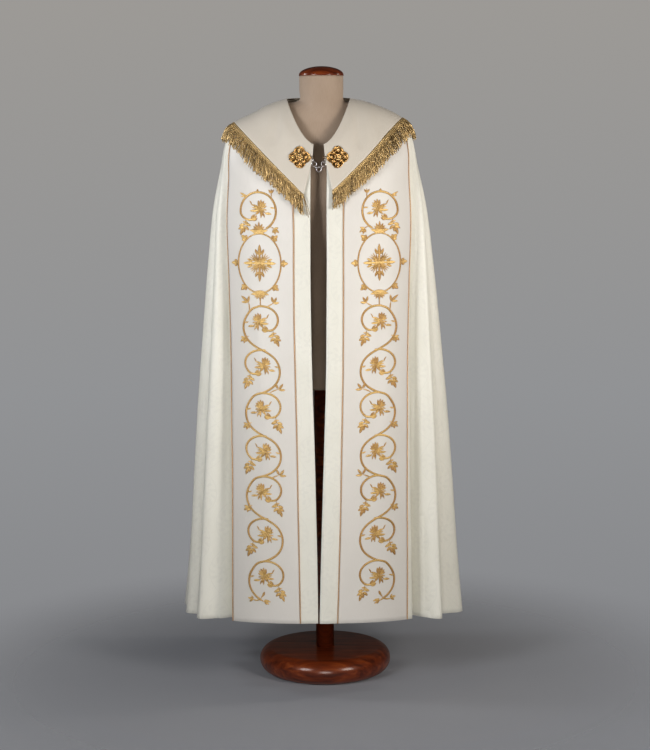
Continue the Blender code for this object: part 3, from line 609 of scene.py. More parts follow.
def rods(points, uv):
    """Closed bodies from an array of (body, ring, side) points with an even count of sides: four-cornered
    walls between the rings, and a pole in the middle of each end. Gives points, faces and uv."""
    count, rows, sides = points.shape[:3]
    turn = np.arange(0, sides, 2)
    cap = np.stack([turn, (turn + 1) % sides, (turn + 2) % sides], axis=1)
    pole = np.full((len(turn), 1), rows * sides)
    near = np.hstack([pole, cap[:, ::-1]])
    far = np.hstack([pole + 1, cap + (rows - 1) * sides])
    one = np.concatenate([grid_faces(rows, sides, closed=True), near, far])
    faces = one + (rows * sides + 2) * np.arange(count)[:, None, None]
    closed_up = [np.concatenate([grid.reshape(count, -1, grid.shape[-1]), grid[:, :1].mean(axis=2),
                                 grid[:, -1:].mean(axis=2)], axis=1) for grid in (points, uv)]
    return closed_up[0].reshape(-1, 3), faces.reshape(-1, 4), closed_up[1].reshape(-1, uv.shape[-1])


copper_cord = thread_material("copper_gold_cord", (0.24, 0.105, 0.045), (0.72, 0.46, 0.26), 0.42, 0.55,
                              900, 0.6, 0.0002)
CORD_TWIST, CORD_STEP, CORD_SIDES = 0.0100, 0.0014, 10
# How far in the cord lies between its three threads, as a share of its radius.
CORD_GROOVE = 0.28
for word in SIDES:
    for edge, across in (("inner", 1.0), ("outer", 2.0)):
        runs = np.linspace(0, NECK_TO_HEM, int(NECK_TO_HEM / CORD_STEP))
        angles = front_angle(across, runs)
        core = on_half(word, angles, runs, ORPHREY_LOW + PIPING_RADIUS)
        up = unit(core - lifted(cloak_surface(word), angles, runs, 0.0))
        beside = np.cross(unit(np.gradient(core, axis=0)), up)
        turn = circle(CORD_SIDES)
        lobes = np.abs(np.cos(1.5 * (turn - 2 * math.pi * runs[:, None] / CORD_TWIST)))
        radius = (PIPING_RADIUS * (1 - CORD_GROOVE + CORD_GROOVE * lobes))[..., None]
        around = np.cos(turn)[:, None] * up[:, None] + np.sin(turn)[:, None] * beside[:, None]
        uv = points_of(runs[:, None], turn * PIPING_RADIUS)
        points, faces, uv = rods((core[:, None] + radius * around)[None], uv[None])
        cord = new_piece("gold_cord_%s_%s" % (word, edge), points, faces, copper_cord, uv)
        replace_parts(cord, "piping_%s_%s" % (word, edge))


# ---------------------------------------------------------------- embroidery
# Padded satin stitch in gold thread, worked on each orphrey and mirrored from one to the other: a scroll
# with a flower at the top, a cup, an oval with a leafy cross, a second cup, and a vine of seven scrolls.
# Sizes are in millimetres. A place is given by its distance out from the middle of the cope, and its
# height.
MM = 0.001
SCROLL_OUT = (154.0, 151.0, 149.0, 150.0, 149.0, 147.0, 145.0)
SCROLL_HEIGHT = (993.7, 878.9, 766.4, 653.6, 547.0, 434.4, 321.3)
# The vine swings out and back once for two scrolls. It starts over the first one's middle, ends as if one
# more came after the last, and rises in a small arch over every second one.
VINE_REACH, VINE_ROUND, VINE_START, VINE_PITCH = 46.0, 6.8, 40.0, 112.5
VINE_ARCH, ARCH_PLACE, ARCH_SPAN = 4.5, 0.50, 0.34
VINE_FROM, VINE_TO = -0.02, 6.965 * math.pi
VINE_WIDTH, OVAL_WIDTH, STEM_WIDTH, STITCH_CROWN = 5.6, 4.2, 3.0, 1.2
VINE_POINTS, OVAL_POINTS, RING_POINTS, CURL_POINTS, STEM_POINTS = 640, 150, 120, 72, 20
TOP_OUT, TOP_HEIGHT, TOP_HALF = 159.0, 1280.5, (-46.5, 50.0)
OVAL_OUT, OVAL_HEIGHT, OVAL_HALF = 156.0, 1145.0, (56.0, 77.5)
CUP, LOW_CUP = (OVAL_OUT + 2, 1229.0), (OVAL_OUT, 1066.0)
# The stem inside a scroll: its middle, its half sizes, and the turns in degrees that it runs between. It
# curls up at its end, as (turn at which it begins to, share that it draws in, span).
CURL_MIDDLE, CURL_HALF, CURL_TURNS, CURL_END = (-2, 4), (43.0, 35.5), (74, 266), (222, 0.34, 52)
RING_TURNS, RING_END = (-66, 256), (180, 0.62, 80)
# Leaves as (root across, root up, tip across, tip up, bend, width), from the middle of a scroll. Across
# is towards the side on which the main stem passes, and the bend is a share of the leaf's length.
FLOWER = (
    (4, 2, 1, 20, 0.08, 5.6), (5, 2, 8, 22, 0.03, 6.2), (6, 2, 15, 19, 0.0, 6.2),
    (7, 2, 20, 13, -0.03, 6.0), (7, 1, 22, 6, -0.08, 5.2), (5, -1, -18, 9, -0.12, 5.4),
    (-16, 8, -22, 19, -0.16, 3.0),
    (3, -2, -16, 2, -0.06, 4.4), (4, -3, -21, -6, 0.12, 6.6), (4, -4, -7, -16, 0.10, 6.2),
    (5, -6, 7, -25, 0.14, 4.2), (7, -7, 16, -24, 0.18, 4.2), (6, -7, 11, -19, -0.05, 3.6),
    (5, 0, 19, -13, 0.05, 3.8), (17, -13, 34, -15, 0.10, 5.8), (10, -3, 22, -5, 0.12, 3.6),
    (-1, 5, 13, -9, 0.0, 7.4),
)
BUD = ((-18, -27, -8, -12, 0.26, 5.6), (-16, -26, -3, -15, 0.0, 6.4), (-16, -27, -2, -21, -0.26, 5.6))
THORN = ((45, -5, 32, -2, 0.10, 4.0),)
SPRAY = (
    (-32, -24, -36, -40, 0.05, 2.6), (-33, -31, -41, -30, 0.1, 4.0), (-33, -31, -27, -33, -0.1, 4.0),
    (-35, -37, -20, -41, 0.15, 7.2), (-36, -38, -50, -42, -0.15, 7.2), (-37, -43, -25, -53, 0.15, 7.2),
    (-37, -44, -53, -51, -0.12, 7.2), (-38, -46, -47, -66, -0.08, 7.6), (-37, -46, -37, -59, 0.05, 6.2),
)
TREFOIL = (
    (31, -40, 43, -46, 0.08, 2.6), (41, -45, 53, -42, -0.14, 5.8), (42, -46, 54, -56, 0.08, 6.2),
    (42, -46, 45, -60, 0.0, 6.0), (41, -46, 37, -56, 0.1, 5.2),
)
SPRIG = (
    (18, -73, 43, -62, 0.12, 3.0), (42, -61, 34, -46, 0.10, 5.8), (43, -61, 54, -47, -0.08, 6.0),
    (42, -62, 60, -63, -0.10, 6.0),
)
TOP_LEAVES = (
    (-30, 41, -48, 49, 0.12, 4.8), (-32, 40, -45, 38, 0.0, 4.2), (-2, 49, -1, 58, 0.0, 5.4),
    (35, 36, 34, 50, -0.05, 2.6), (34, 47, 28, 57, 0.12, 4.4), (34, 47, 41, 57, -0.12, 4.4),
    (34, 48, 35, 58, 0.0, 3.6), (44, 9, 31, 10, 0.10, 4.0),
)
SHOULDER_LEAVES = (
    (30, 26, 32, 50, 0.06, 3.0), (33, 48, 52, 65, 0.08, 6.2), (32, 49, 30, 66, -0.08, 6.0),
    (34, 48, 51, 48, 0.10, 5.6), (-14, 38, -35, 50, 0.10, 3.0), (-34, 49, -29, 65, -0.08, 6.0),
    (-34, 49, -42, 63, 0.04, 5.6), (-33, 48, -49, 50, 0.10, 6.0),
)
TAIL = (
    (7, -65, -11, -69, -0.08, 5.8), (6, -66, -7, -76, 0.06, 5.4), (5, -66, 0, -77, 0.05, 4.8),
    (15, -60, 8, -49, 0.10, 3.4), (11, -55, 5, -42, 0.08, 5.6), (13, -60, 40, -65, -0.34, 3.6),
    (35, -66, 50, -63, 0.08, 6.0), (36, -66, 40, -56, 0.05, 5.0), (36, -66, 46, -73, 0.05, 5.0),
)
CUP_FAN = (
    (0, -2, -1, 25, 0.0, 6.0), (-2, -2, -10, 19, -0.08, 6.0), (2, -2, 9, 19, 0.08, 6.0),
    (-3, -3, -15, 12, -0.12, 5.4), (3, -3, 14, 13, 0.12, 5.4), (-5, -4, -18, 5, -0.12, 4.6),
    (5, -4, 17, 6, 0.12, 4.6),
)
CUP_BOWL = ((-24, 3, 24, 3, -0.17, 9.5), (-15, -4, 15, -4, -0.10, 6.0))
# The oval's buds: their turns in degrees, how far out they stand as shares of its half sizes, and their
# petals as (swing from the way that the bud points, length, width).
BUD_TURNS, BUD_STAND = (52, 128, 0, 180, -50, -130), (1.10, 1.05)
BUD_PETALS = ((-1.25, 10, 8.0), (0.0, 13, 8.4), (1.25, 10, 8.0), (math.pi, 5, 5.0))
# The cross: the reach of its four arms, and the rays beside each as (turn, length, bend).
CROSS_REACH, RAY_ROOT, RAY_WIDTH = (43, 49, 43, 48), 2, 3.0
CROSS_RAYS = ((0.32, 28, -0.12), (0.57, 31, -0.06), (0.785, 31, 0.0), (1.00, 31, 0.06), (1.25, 28, 0.12))
# How much fuller the leaves are worked than the widths above, the rows of points along each, how early
# and how broadly its width peaks, and the share of it that is left at the tip.
LEAF_FULLNESS, LEAF_ROWS, LEAF_EARLY, LEAF_BROAD, LEAF_TIP = 1.12, 11, 0.90, 0.65, 0.10
# How a band of stitches looks: the share of the crown that it starts with, the range of tones, and the
# painted shade that darkens it where it runs upright and at its edges. A stem's ends are blunt, and widen
# quickly.
LEAST_CROWN, TONE_RANGE, PAINTED_UPRIGHT_SHADE, PAINTED_EDGE_SHADE = 0.15, 0.10, 0.40, 0.45
BLUNT_END, END_SLOPE = 0.25, 60
# Sections of a stitch: its points as shares of the half width, and their heights as shares of the crown.
ACROSS = np.array([-1.0, -0.78, -0.42, 0.0, 0.42, 0.78, 1.0, 0.0])
ROUND = np.array([0.12, 0.66, 0.93, 1.0, 0.93, 0.66, 0.12, -0.35])
GROOVED = np.array([0.12, 0.72, 1.0, 0.55, 1.0, 0.72, 0.12, -0.35])
NEWTON_STEPS = 7


def find_place(word, x, z):
    """Angle and run at which the cloth stands at a given x and z, by Newton's steps from a guess."""
    surface = cloak_surface(word)
    run = np.interp(-z, -RINGS["front_z"], RINGS["run"])
    sideways = SIDES[word] * (x - CLOTH_X) / ring("half_width", run)
    angle = np.arcsin(np.clip(sideways, 0.01, 0.95))
    for _ in range(NEWTON_STEPS):
        here = surface(angle, run)
        over = (surface(angle + NUDGE, run) - here) / NUDGE
        down = (surface(angle, run + NUDGE) - here) / NUDGE
        off_x, off_z = x - here[..., 0], z - here[..., 2]
        area = over[..., 0] * down[..., 2] - over[..., 2] * down[..., 0]
        angle = angle + (off_x * down[..., 2] - off_z * down[..., 0]) / area
        run = run + (off_z * over[..., 0] - off_x * over[..., 2]) / area
    return angle, np.clip(run, 0, NECK_TO_HEM)


def leaf_lines(leaves, middle, towards=1, size=1.0):
    """Leaves as centre lines and half widths: each line is a quadratic curve from the root to the tip,
    and the width rises quickly from the root and falls to a point."""
    leaves = np.array(leaves, float)
    root, tip = size * leaves[:, None, 0:2], size * leaves[:, None, 2:4]
    step = tip - root
    bow = (root + tip) / 2 + leaves[:, 4, None, None] * points_of(-step[..., 1], step[..., 0])
    t = np.linspace(0, 1, LEAF_ROWS)[:, None]
    line = (1 - t) ** 2 * root + 2 * t * (1 - t) * bow + t ** 2 * tip
    fat = np.sin(math.pi * np.clip(t[:, 0], 0.004, 0.996) ** LEAF_EARLY) ** LEAF_BROAD
    half = size * LEAF_FULLNESS * leaves[:, 5, None] / 2 * np.maximum(fat, LEAF_TIP)
    return np.array(middle) + line * [towards, 1], half


def stitched(line, half, section, seed=0):
    """Padded stitches along centre lines: (body, ring, side) points as distance out, height and rise over
    the satin, and for each point its place along and across the band and how dark it is painted. This is
    painted shade: thread that runs level lies in shade, so a band is painted darker where it stands
    upright and towards its edges, and each body gets a random tone."""
    ahead = unit(np.gradient(line, axis=1))
    beside = points_of(-ahead[..., 1], ahead[..., 0])
    flat = line[:, :, None] + half[..., None, None] * ACROSS[:, None] * beside[:, :, None]
    full = np.minimum(half / half.max(axis=1, keepdims=True) + LEAST_CROWN, 1)
    rise = STITCH_CROWN * section * full[..., None]
    along = lengths_along(line, axis=1)[..., None]
    tone = np.random.default_rng(seed).uniform(-TONE_RANGE, TONE_RANGE, (len(line), 1, 1))
    # Painted shade: darker where the band runs upright and towards its edges, over a random tone per body.
    dark = PAINTED_UPRIGHT_SHADE * np.abs(ahead[..., 1, None]) + PAINTED_EDGE_SHADE * ACROSS ** 4 + tone
    look = points_of(along * MM + 3 * tone, half[..., None] * ACROSS * MM, np.clip(dark, 0, 1))
    return rods(np.concatenate([flat, rise[..., None]], axis=-1) * MM, look)


def tapered(line, width):
    """Half widths of a stem that is one width along its length and comes to a blunt point at each end."""
    t = np.linspace(0, 1, line.shape[1])
    share = np.clip(np.minimum(t, 1 - t) * END_SLOPE + BLUNT_END, 0, 1)
    return np.broadcast_to(width / 2 * share, line.shape[:2])


def joined(bodies):
    """Several bodies' points, faces and uv as those of one."""
    points, faces, uv = zip(*bodies)
    firsts = np.cumsum([0] + [len(part) for part in points[:-1]])
    faces = [part + first for part, first in zip(faces, firsts)]
    return np.concatenate(points), np.concatenate(faces), np.concatenate(uv)


def ellipse(turn, across, up):
    """Places on an ellipse: its half sizes times the cosine and the sine of the turn."""
    return points_of(across * np.cos(turn), up * np.sin(turn))


def curl(half, turns, end, count):
    """A stem along an ellipse, between two turns in degrees. Past the turn at which its end begins, it is
    drawn in gently by a share of its size."""
    turn = np.linspace(*turns, count)
    begin, share, span = end
    return ellipse(np.radians(turn), *half) * (1 - share * eased((turn - begin) / span))[:, None]


# Every scroll has a flower, a bud, a thorn and a spray. What fills the corner beside it changes on the way
# down, the first one stands under shoulder leaves, and the last one ends in a tail.
leaf_parts, stems = [], []
scroll = np.array(CURL_MIDDLE) + curl(CURL_HALF, CURL_TURNS, CURL_END, CURL_POINTS)
for k, middle in enumerate(zip(SCROLL_OUT, SCROLL_HEIGHT)):
    towards = -1 if k % 2 else 1
    tables = [FLOWER, BUD, THORN, SPRAY]
    if k < 5:
        tables.append(SPRIG if k % 2 else TREFOIL)
    if k == 0:
        tables.append(SHOULDER_LEAVES)
    if k == 6:
        tables.append(TAIL)
    leaf_parts += [leaf_lines(table, middle, towards) for table in tables]
    stems.append(np.array(middle) + scroll * [towards, 1])
for table, rise, size in ((FLOWER, 8, 1.04), (BUD, 4, 1.0), (SPRAY, 3, 1.0), (TOP_LEAVES, 0, 1.0),
                          (TREFOIL, 0, 1.0)):
    leaf_parts.append(leaf_lines(table, (TOP_OUT, TOP_HEIGHT + rise), -1, size))
leaf_parts.append(leaf_lines(CUP_FAN, CUP))
leaf_parts.append(leaf_lines(np.array(CUP_FAN) * [1, -1, 1, -0.78, -1, 1], LOW_CUP))
leaf_parts += [leaf_lines(np.array(CUP_BOWL) * [1, up, 1, up, up, 1], cup)
               for cup, up in ((CUP, 1), (LOW_CUP, -1))]

roots = ellipse(np.radians(BUD_TURNS), BUD_STAND[0] * OVAL_HALF[0], BUD_STAND[1] * OVAL_HALF[1])
ways = np.arctan2(roots[:, 1] / OVAL_HALF[1] ** 2, roots[:, 0] / OVAL_HALF[0] ** 2)
for root, way in zip(roots, ways):
    petals = [(*(root - ellipse(way, 1, 1)), *(root + ellipse(way + swing, reach, reach)), 0.0, width)
              for swing, reach, width in BUD_PETALS]
    leaf_parts.append(leaf_lines(petals, (OVAL_OUT, OVAL_HEIGHT)))
for quarter, reach in enumerate(CROSS_REACH):
    arm = [(0.36 * reach, 0, reach, 0, 0.0, 7.8), (0.46 * reach, 1, 0.76 * reach, 11.0, 0.22, 6.6),
           (0.46 * reach, -1, 0.76 * reach, -11.0, -0.22, 6.6), (-8, 0, 0.60 * reach, 0, 0.0, 6.4)]
    for ray, far, bend in CROSS_RAYS:
        for begin, end, bow in ((far, RAY_ROOT, bend), (RAY_ROOT, far, -bend)):
            arm.append((*ellipse(ray, begin, begin), *ellipse(ray, end, end), bow, RAY_WIDTH))
    arm = np.array(arm)
    x, y = ellipse(quarter * math.pi / 2, 1, 1)
    arm[:, :4] = (arm[:, :4].reshape(-1, 2, 2) @ [[x, y], [-y, x]]).reshape(-1, 4)
    leaf_parts.append(leaf_lines(arm, (OVAL_OUT, OVAL_HEIGHT)))

top_ring = curl(TOP_HALF, RING_TURNS, RING_END, RING_POINTS) + [TOP_OUT, TOP_HEIGHT]
oval = ellipse(np.linspace(0, 2.02 * math.pi, OVAL_POINTS) + 1.2, *OVAL_HALF) + [OVAL_OUT, OVAL_HEIGHT]
t = np.linspace(VINE_FROM, VINE_TO, VINE_POINTS)
middles = np.interp(t / math.pi - 0.5, np.arange(7), SCROLL_OUT)
heights = [*SCROLL_HEIGHT, SCROLL_HEIGHT[-1] - VINE_PITCH]
tops = np.interp(t / math.pi, np.arange(8), heights) + VINE_START
arch = VINE_ARCH * np.exp(-((np.mod(t, 2 * math.pi) - ARCH_PLACE) / ARCH_SPAN) ** 2)
vine = points_of(middles + VINE_REACH * np.sin(t), tops + VINE_ROUND * np.sin(2 * t) + arch)
stem_top, stem_foot = (OVAL_OUT - 1, LOW_CUP[1] - 14), (SCROLL_OUT[0] + 1, SCROLL_HEIGHT[0] + 40)
stem = np.linspace(stem_top, stem_foot, STEM_POINTS)

# Its painted_shade darkens upright stitches and their edges, a painted shade.
gold_thread = thread_material("gold_satin_stitch", (0.30, 0.135, 0.030), (0.96, 0.660, 0.235), 0.36,
                              0.35, 1500, 0.9, 0.0002, painted_shade=0.62)
lines = np.concatenate([line for line, _ in leaf_parts])
halves = np.concatenate([half for _, half in leaf_parts])
stems = np.array(stems)
bodies = [stitched(lines, halves, GROOVED, seed=5), stitched(stems, tapered(stems, VINE_WIDTH), ROUND)]
bodies += [stitched(path[None], tapered(path[None], width), ROUND)
           for path, width in ((vine, VINE_WIDTH), (top_ring, VINE_WIDTH), (oval, OVAL_WIDTH),
                               (stem, STEM_WIDTH))]
local, faces, look = joined(bodies)
for word, side in SIDES.items():
    angle, run = find_place(word, CLOTH_X + side * local[:, 0], local[:, 1])
    points = on_half(word, angle, run, ORPHREY_TOP + local[:, 2])
    new_piece("embroidery_" + word, points, faces, gold_thread, look[:, :2], look[:, 2])


# ---------------------------------------------------------------- hood
# A plain satin collar and hood in one, sewn along the neckline. Its front edges run straight down to two
# points on the chest, and behind it makes a rounded shield between the shoulders.
HOOD_WALL = 0.0015
HOOD_LIFT, HOOD_NECK_LIFT = 0.0085, 0.0059
HOOD_NECK_RUN = 0.030
HOOD_PUSH = 0.060
HOOD_EDGE_RUNS = (0.0, 0.050, 0.095, 0.140, 0.160)
HOOD_EDGE_X = (0.0130, 0.0165, 0.0240, 0.0330, 0.0370)
# Height of the front edge of the hood at a few distances out from the middle, on each side.
HOOD_FRONT_X = (0.037, 0.085, 0.130, 0.175, 0.205, 0.240)
HOOD_FRONT_Z = {-1: (1.322, 1.370, 1.415, 1.461, 1.491, 1.526),
                1: (1.334, 1.381, 1.425, 1.475, 1.506, 1.532)}
HOOD_SHOULDER_X, HOOD_SHOULDER_Z = 0.230, 1.516
HOOD_BACK_Z, HOOD_BACK_CURVE = 1.130, 1.35
HOOD_FINE_COLUMNS, HOOD_FINE_ROWS = 301, 38
# Where the outline is looked for: in a few columns, and at these runs down each.
HOOD_COLUMNS, SOUGHT_RUNS = 45, np.linspace(0, 0.70, 281)
# Soft troughs and ridges that fan out from the neck, as (centre, lean, half_width, from_run, to_run,
# depth).
HOOD_CREASES = (
    (-0.560, 0.20, 0.050, 0.02, 0.230, 0.0012), (0.540, -0.15, 0.050, 0.02, 0.210, -0.0010),
    (-0.430, 0.10, 0.060, 0.00, 0.340, 0.0020), (0.430, -0.15, 0.055, -0.04, 0.300, 0.0018),
    (-0.300, -0.05, 0.050, 0.05, 0.420, -0.0012), (0.260, 0.05, 0.045, -0.02, 0.380, -0.0010),
    (-0.120, 0.08, 0.060, 0.08, 0.440, 0.0022), (0.080, -0.06, 0.055, 0.00, 0.460, 0.0016),
)
# Plumb troughs and ridges of the front, as (x at the top, x at the bottom, half_width, top, bottom,
# depth). They are lost on the neck, and round the side of the body.
HOOD_FALLS = (
    (-0.103, -0.130, 0.016, 1.600, 1.440, -0.0040), (-0.080, -0.092, 0.014, 1.560, 1.450, 0.0016),
    (0.091, 0.099, 0.014, 1.600, 1.430, -0.0040), (0.118, 0.135, 0.018, 1.560, 1.440, 0.0016),
    (-0.150, -0.162, 0.022, 1.540, 1.450, -0.0012), (0.150, 0.165, 0.022, 1.540, 1.455, -0.0010),
)
HOOD_FADE, FALL_FADE, SIDE_FADE, FALL_WIDENS = 0.09, 0.035, 0.03, 0.8


def hood_angle(place, run):
    """Angle of a place round the hood: -1 and 1 at its front edges, 0 at the centre back."""
    edge = np.arcsin(smooth(run, HOOD_EDGE_RUNS, HOOD_EDGE_X) / ring("half_width", run))
    late = np.arcsin(HOOD_EDGE_X[-1] / ring("half_width", run))
    return place * (math.pi - np.where(run > HOOD_EDGE_RUNS[-1], late, edge))


def hood_surface(place, run):
    """The drape pushed out over the folds of the cloak, with creases that are raised cosines across and
    fade in and out along the run, or down the front."""
    angle, over_folds = hood_angle(place, run), HOOD_PUSH * ring("fold_share", run)
    x, y, z = np.moveaxis(drape(angle, run, over_folds), -1, 0)
    push = over_folds
    for centre, lean, half_width, upper, lower, depth in HOOD_CREASES:
        along = eased((run - upper) / HOOD_FADE) * eased((lower - run) / HOOD_FADE)
        push = push + depth * along * crest(place - centre - lean * (run - max(upper, 0)), half_width)
    for upper_x, lower_x, half_width, top, bottom, depth in HOOD_FALLS:
        share = np.clip((top - z) / (top - bottom), 0, 1)
        offset = x - upper_x - (lower_x - upper_x) * share
        along = eased((top - z) / FALL_FADE) * eased((z - bottom) / FALL_FADE)
        along = along * np.clip(-y / SIDE_FADE, 0, 1) * np.clip(run / HOOD_NECK_RUN, 0, 1)
        push = push + depth * along * crest(offset, half_width * (1 + FALL_WIDENS * share))
    return drape(angle, run, push)


def run_of_drop(above):
    """Run at which heights at the sought runs first drop below nought, straight between two of them."""
    last = np.maximum((above < 0).argmax(axis=-1), 1)[..., None]
    upper, lower = (np.take_along_axis(above, index, axis=-1)[..., 0] for index in (last - 1, last))
    step = SOUGHT_RUNS[1] - SOUGHT_RUNS[0]
    return SOUGHT_RUNS[last[..., 0] - 1] + upper / (upper - lower) * step


def hood_reach(place):
    """Run at which the hood ends: where the drape drops below the hood's outline, and straight between
    a few columns."""
    columns = np.linspace(-1, 1, HOOD_COLUMNS)
    x, y, z = np.moveaxis(drape(hood_angle(columns[:, None], SOUGHT_RUNS), SOUGHT_RUNS), -1, 0)
    beside = np.abs(x - CLOTH_X)
    rise = np.minimum(beside / HOOD_SHOULDER_X, 1) ** HOOD_BACK_CURVE
    front = np.where(x < CLOTH_X, np.interp(beside, HOOD_FRONT_X, HOOD_FRONT_Z[-1]),
                     np.interp(beside, HOOD_FRONT_X, HOOD_FRONT_Z[1]))
    back = HOOD_BACK_Z + (HOOD_SHOULDER_Z - HOOD_BACK_Z) * rise
    return np.interp(place, columns, run_of_drop(z - np.where(y < 0, front, back)))


hood_satin = cloth_material("hood_satin", (0.635, 0.580, 0.501), (0.598, 0.543, 0.460), 0.44, 3000, 6.0)
places = np.linspace(-1, 1, HOOD_FINE_COLUMNS)
runs = np.linspace(0, 1, HOOD_FINE_ROWS)[:, None] * (hood_reach(places) - GAP)
lift = np.interp(runs, (0, HOOD_NECK_RUN), (HOOD_NECK_LIFT, HOOD_LIFT))
hood = cloth_wall("satin_hood", lifted(hood_surface, places, runs, lift),
                  lifted(hood_surface, places, runs, lift + HOOD_WALL), hood_satin)
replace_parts(hood, "hood")


# ---------------------------------------------------------------- fringe
# Gold bullion: a plaited heading sewn along the hood's edge, and three rows of loose two-ply twists that
# hang out of it, no two of quite the same length. A few long threads hang at the left point.
HEADING_RUN, STRAND_RUN, SHOULDER_TRIM = 0.014, 0.058, 0.27
FRINGE_WALL = 0.0022
HEADING_STEPS, PLAIT_ROWS, PLAIT_POINTS, PLAIT_PITCH = 900, 3, 6, 0.0052
# Heights of the heading as shares of its wall: its ground, the bulge of a row, and the plait on that.
HEADING_GROUND, ROW_BULGE, PLAIT_RISE = 0.65, 0.25, 0.40
# Points along one side of the hood's edge, and how near the centre back they end.
EDGE_POINTS, EDGE_END = 400, 0.002
STRANDS, STRAND_ROWS, STRAND_SIDES = 178, 19, 6
STRAND_RADIUS, STRAND_TWIST = 0.00150, 0.012
# How far in a twist lies between its two plies, as a share of its radius.
PLY_GROOVE = 0.34
# How many tones the strands take, and the thickness of the long threads as a share of STRAND_RADIUS.
STRAND_TONES, LONG_THICKNESS = 400, 0.62
# Rows of strands as (height over the hood, share of the full length). All start at one height. Each
# CLUMP strands or so lean and end together.
STRAND_LAYERS = ((0.0006, 0.80), (0.0016, 0.96), (0.0031, 1.0))
STRAND_START, CLUMP = 0.0006, 5
# How unlike they are. Where they are sewn and how far they, their clump and their crimps sway are given
# as shares of the step between two.
ROOT_JITTER, SWAY, CLUMP_SWAY, CRIMP_SWAY = 0.3, 0.5, 0.6, 0.26
# The shortest as a share of the full length, how much shorter a clump may be, and how far down the
# heading they begin.
SHORTEST, CLUMP_SHORTER, BEGIN = 0.84, 0.16, (0.25, 0.75)
# How many crimps each has, how far these stand off, and how thick it is as a share of STRAND_RADIUS.
CRIMPS, CRIMP_LIFT, THICKNESS = (1.6, 3.0), 0.0006, (0.78, 1.12)
# The long threads as (place at the root, place at the end, share of the strand's length).
LONG_THREADS = ((0.9985, 1.012, 0.93), (1.0, 1.017, 1.0), (1.0005, 1.021, 0.86))


def fringe_points(place, drop, lift):
    """Points below the hood's edge: plumb on the chest and back, straight out over the shoulder, and
    lifted along the normal of the drape."""
    reach = hood_reach(place)
    root = hood_angle(place, reach)
    run = reach + drop
    sideways = np.clip(ring("half_width", reach) * np.abs(np.sin(root)) / ring("half_width", run), 0, 1)
    plumb = np.arcsin(sideways)
    plumb = np.where(np.cos(root) < 0, math.pi - plumb, plumb) * np.sign(place)
    radial = np.sin(root) ** 4
    angle = root * radial + plumb * (1 - radial)
    share, below = ring("fold_share", run), ring("fold_share", run + NUDGE)
    point = drape(angle, run, HOOD_PUSH * share)
    over = drape(angle + NUDGE, run, HOOD_PUSH * share) - drape(angle - NUDGE, run, HOOD_PUSH * share)
    down = drape(angle, run + NUDGE, HOOD_PUSH * below) - point
    return point + unit(np.cross(over, down)) * lift[..., None]


def even_places(side, count):
    """Places along one side of the hood's edge, equally far apart from the front tip to the centre back,
    and the edge's length."""
    fine = np.linspace(side, side * EDGE_END, EDGE_POINTS)
    reach = hood_reach(fine)
    lengths = lengths_along(drape(hood_angle(fine, reach), reach))
    return np.interp(np.linspace(0, lengths[-1], count), lengths, fine), lengths[-1]


def twists(place, drop, lift, radius, start):
    """Two-ply twists along rows of points under the hood's edge: each ring is an oval, turned a little
    further than the one before it. The uv is the length, and the way round from a ply of its own."""
    core = fringe_points(place, drop, lift)
    up = unit(fringe_points(place, drop, lift + 0.001) - core)
    beside = np.cross(unit(np.gradient(core, axis=1)), up)
    turn = circle(STRAND_SIDES)
    lobes = np.abs(np.cos(turn - 2 * math.pi * (drop / STRAND_TWIST + start)[..., None]))
    around = np.cos(turn)[:, None] * up[:, :, None] + np.sin(turn)[:, None] * beside[:, :, None]
    out = radius[..., None] * (1 - PLY_GROOVE + PLY_GROOVE * lobes)
    along = drop + STRAND_TWIST * (start + 0.125)
    ply = math.pi * STRAND_RADIUS * np.floor(STRAND_TONES * start)
    uv = points_of(along[..., None], ply[..., None] + turn * STRAND_RADIUS)
    return rods(core[:, :, None] + out[..., None] * around, uv)


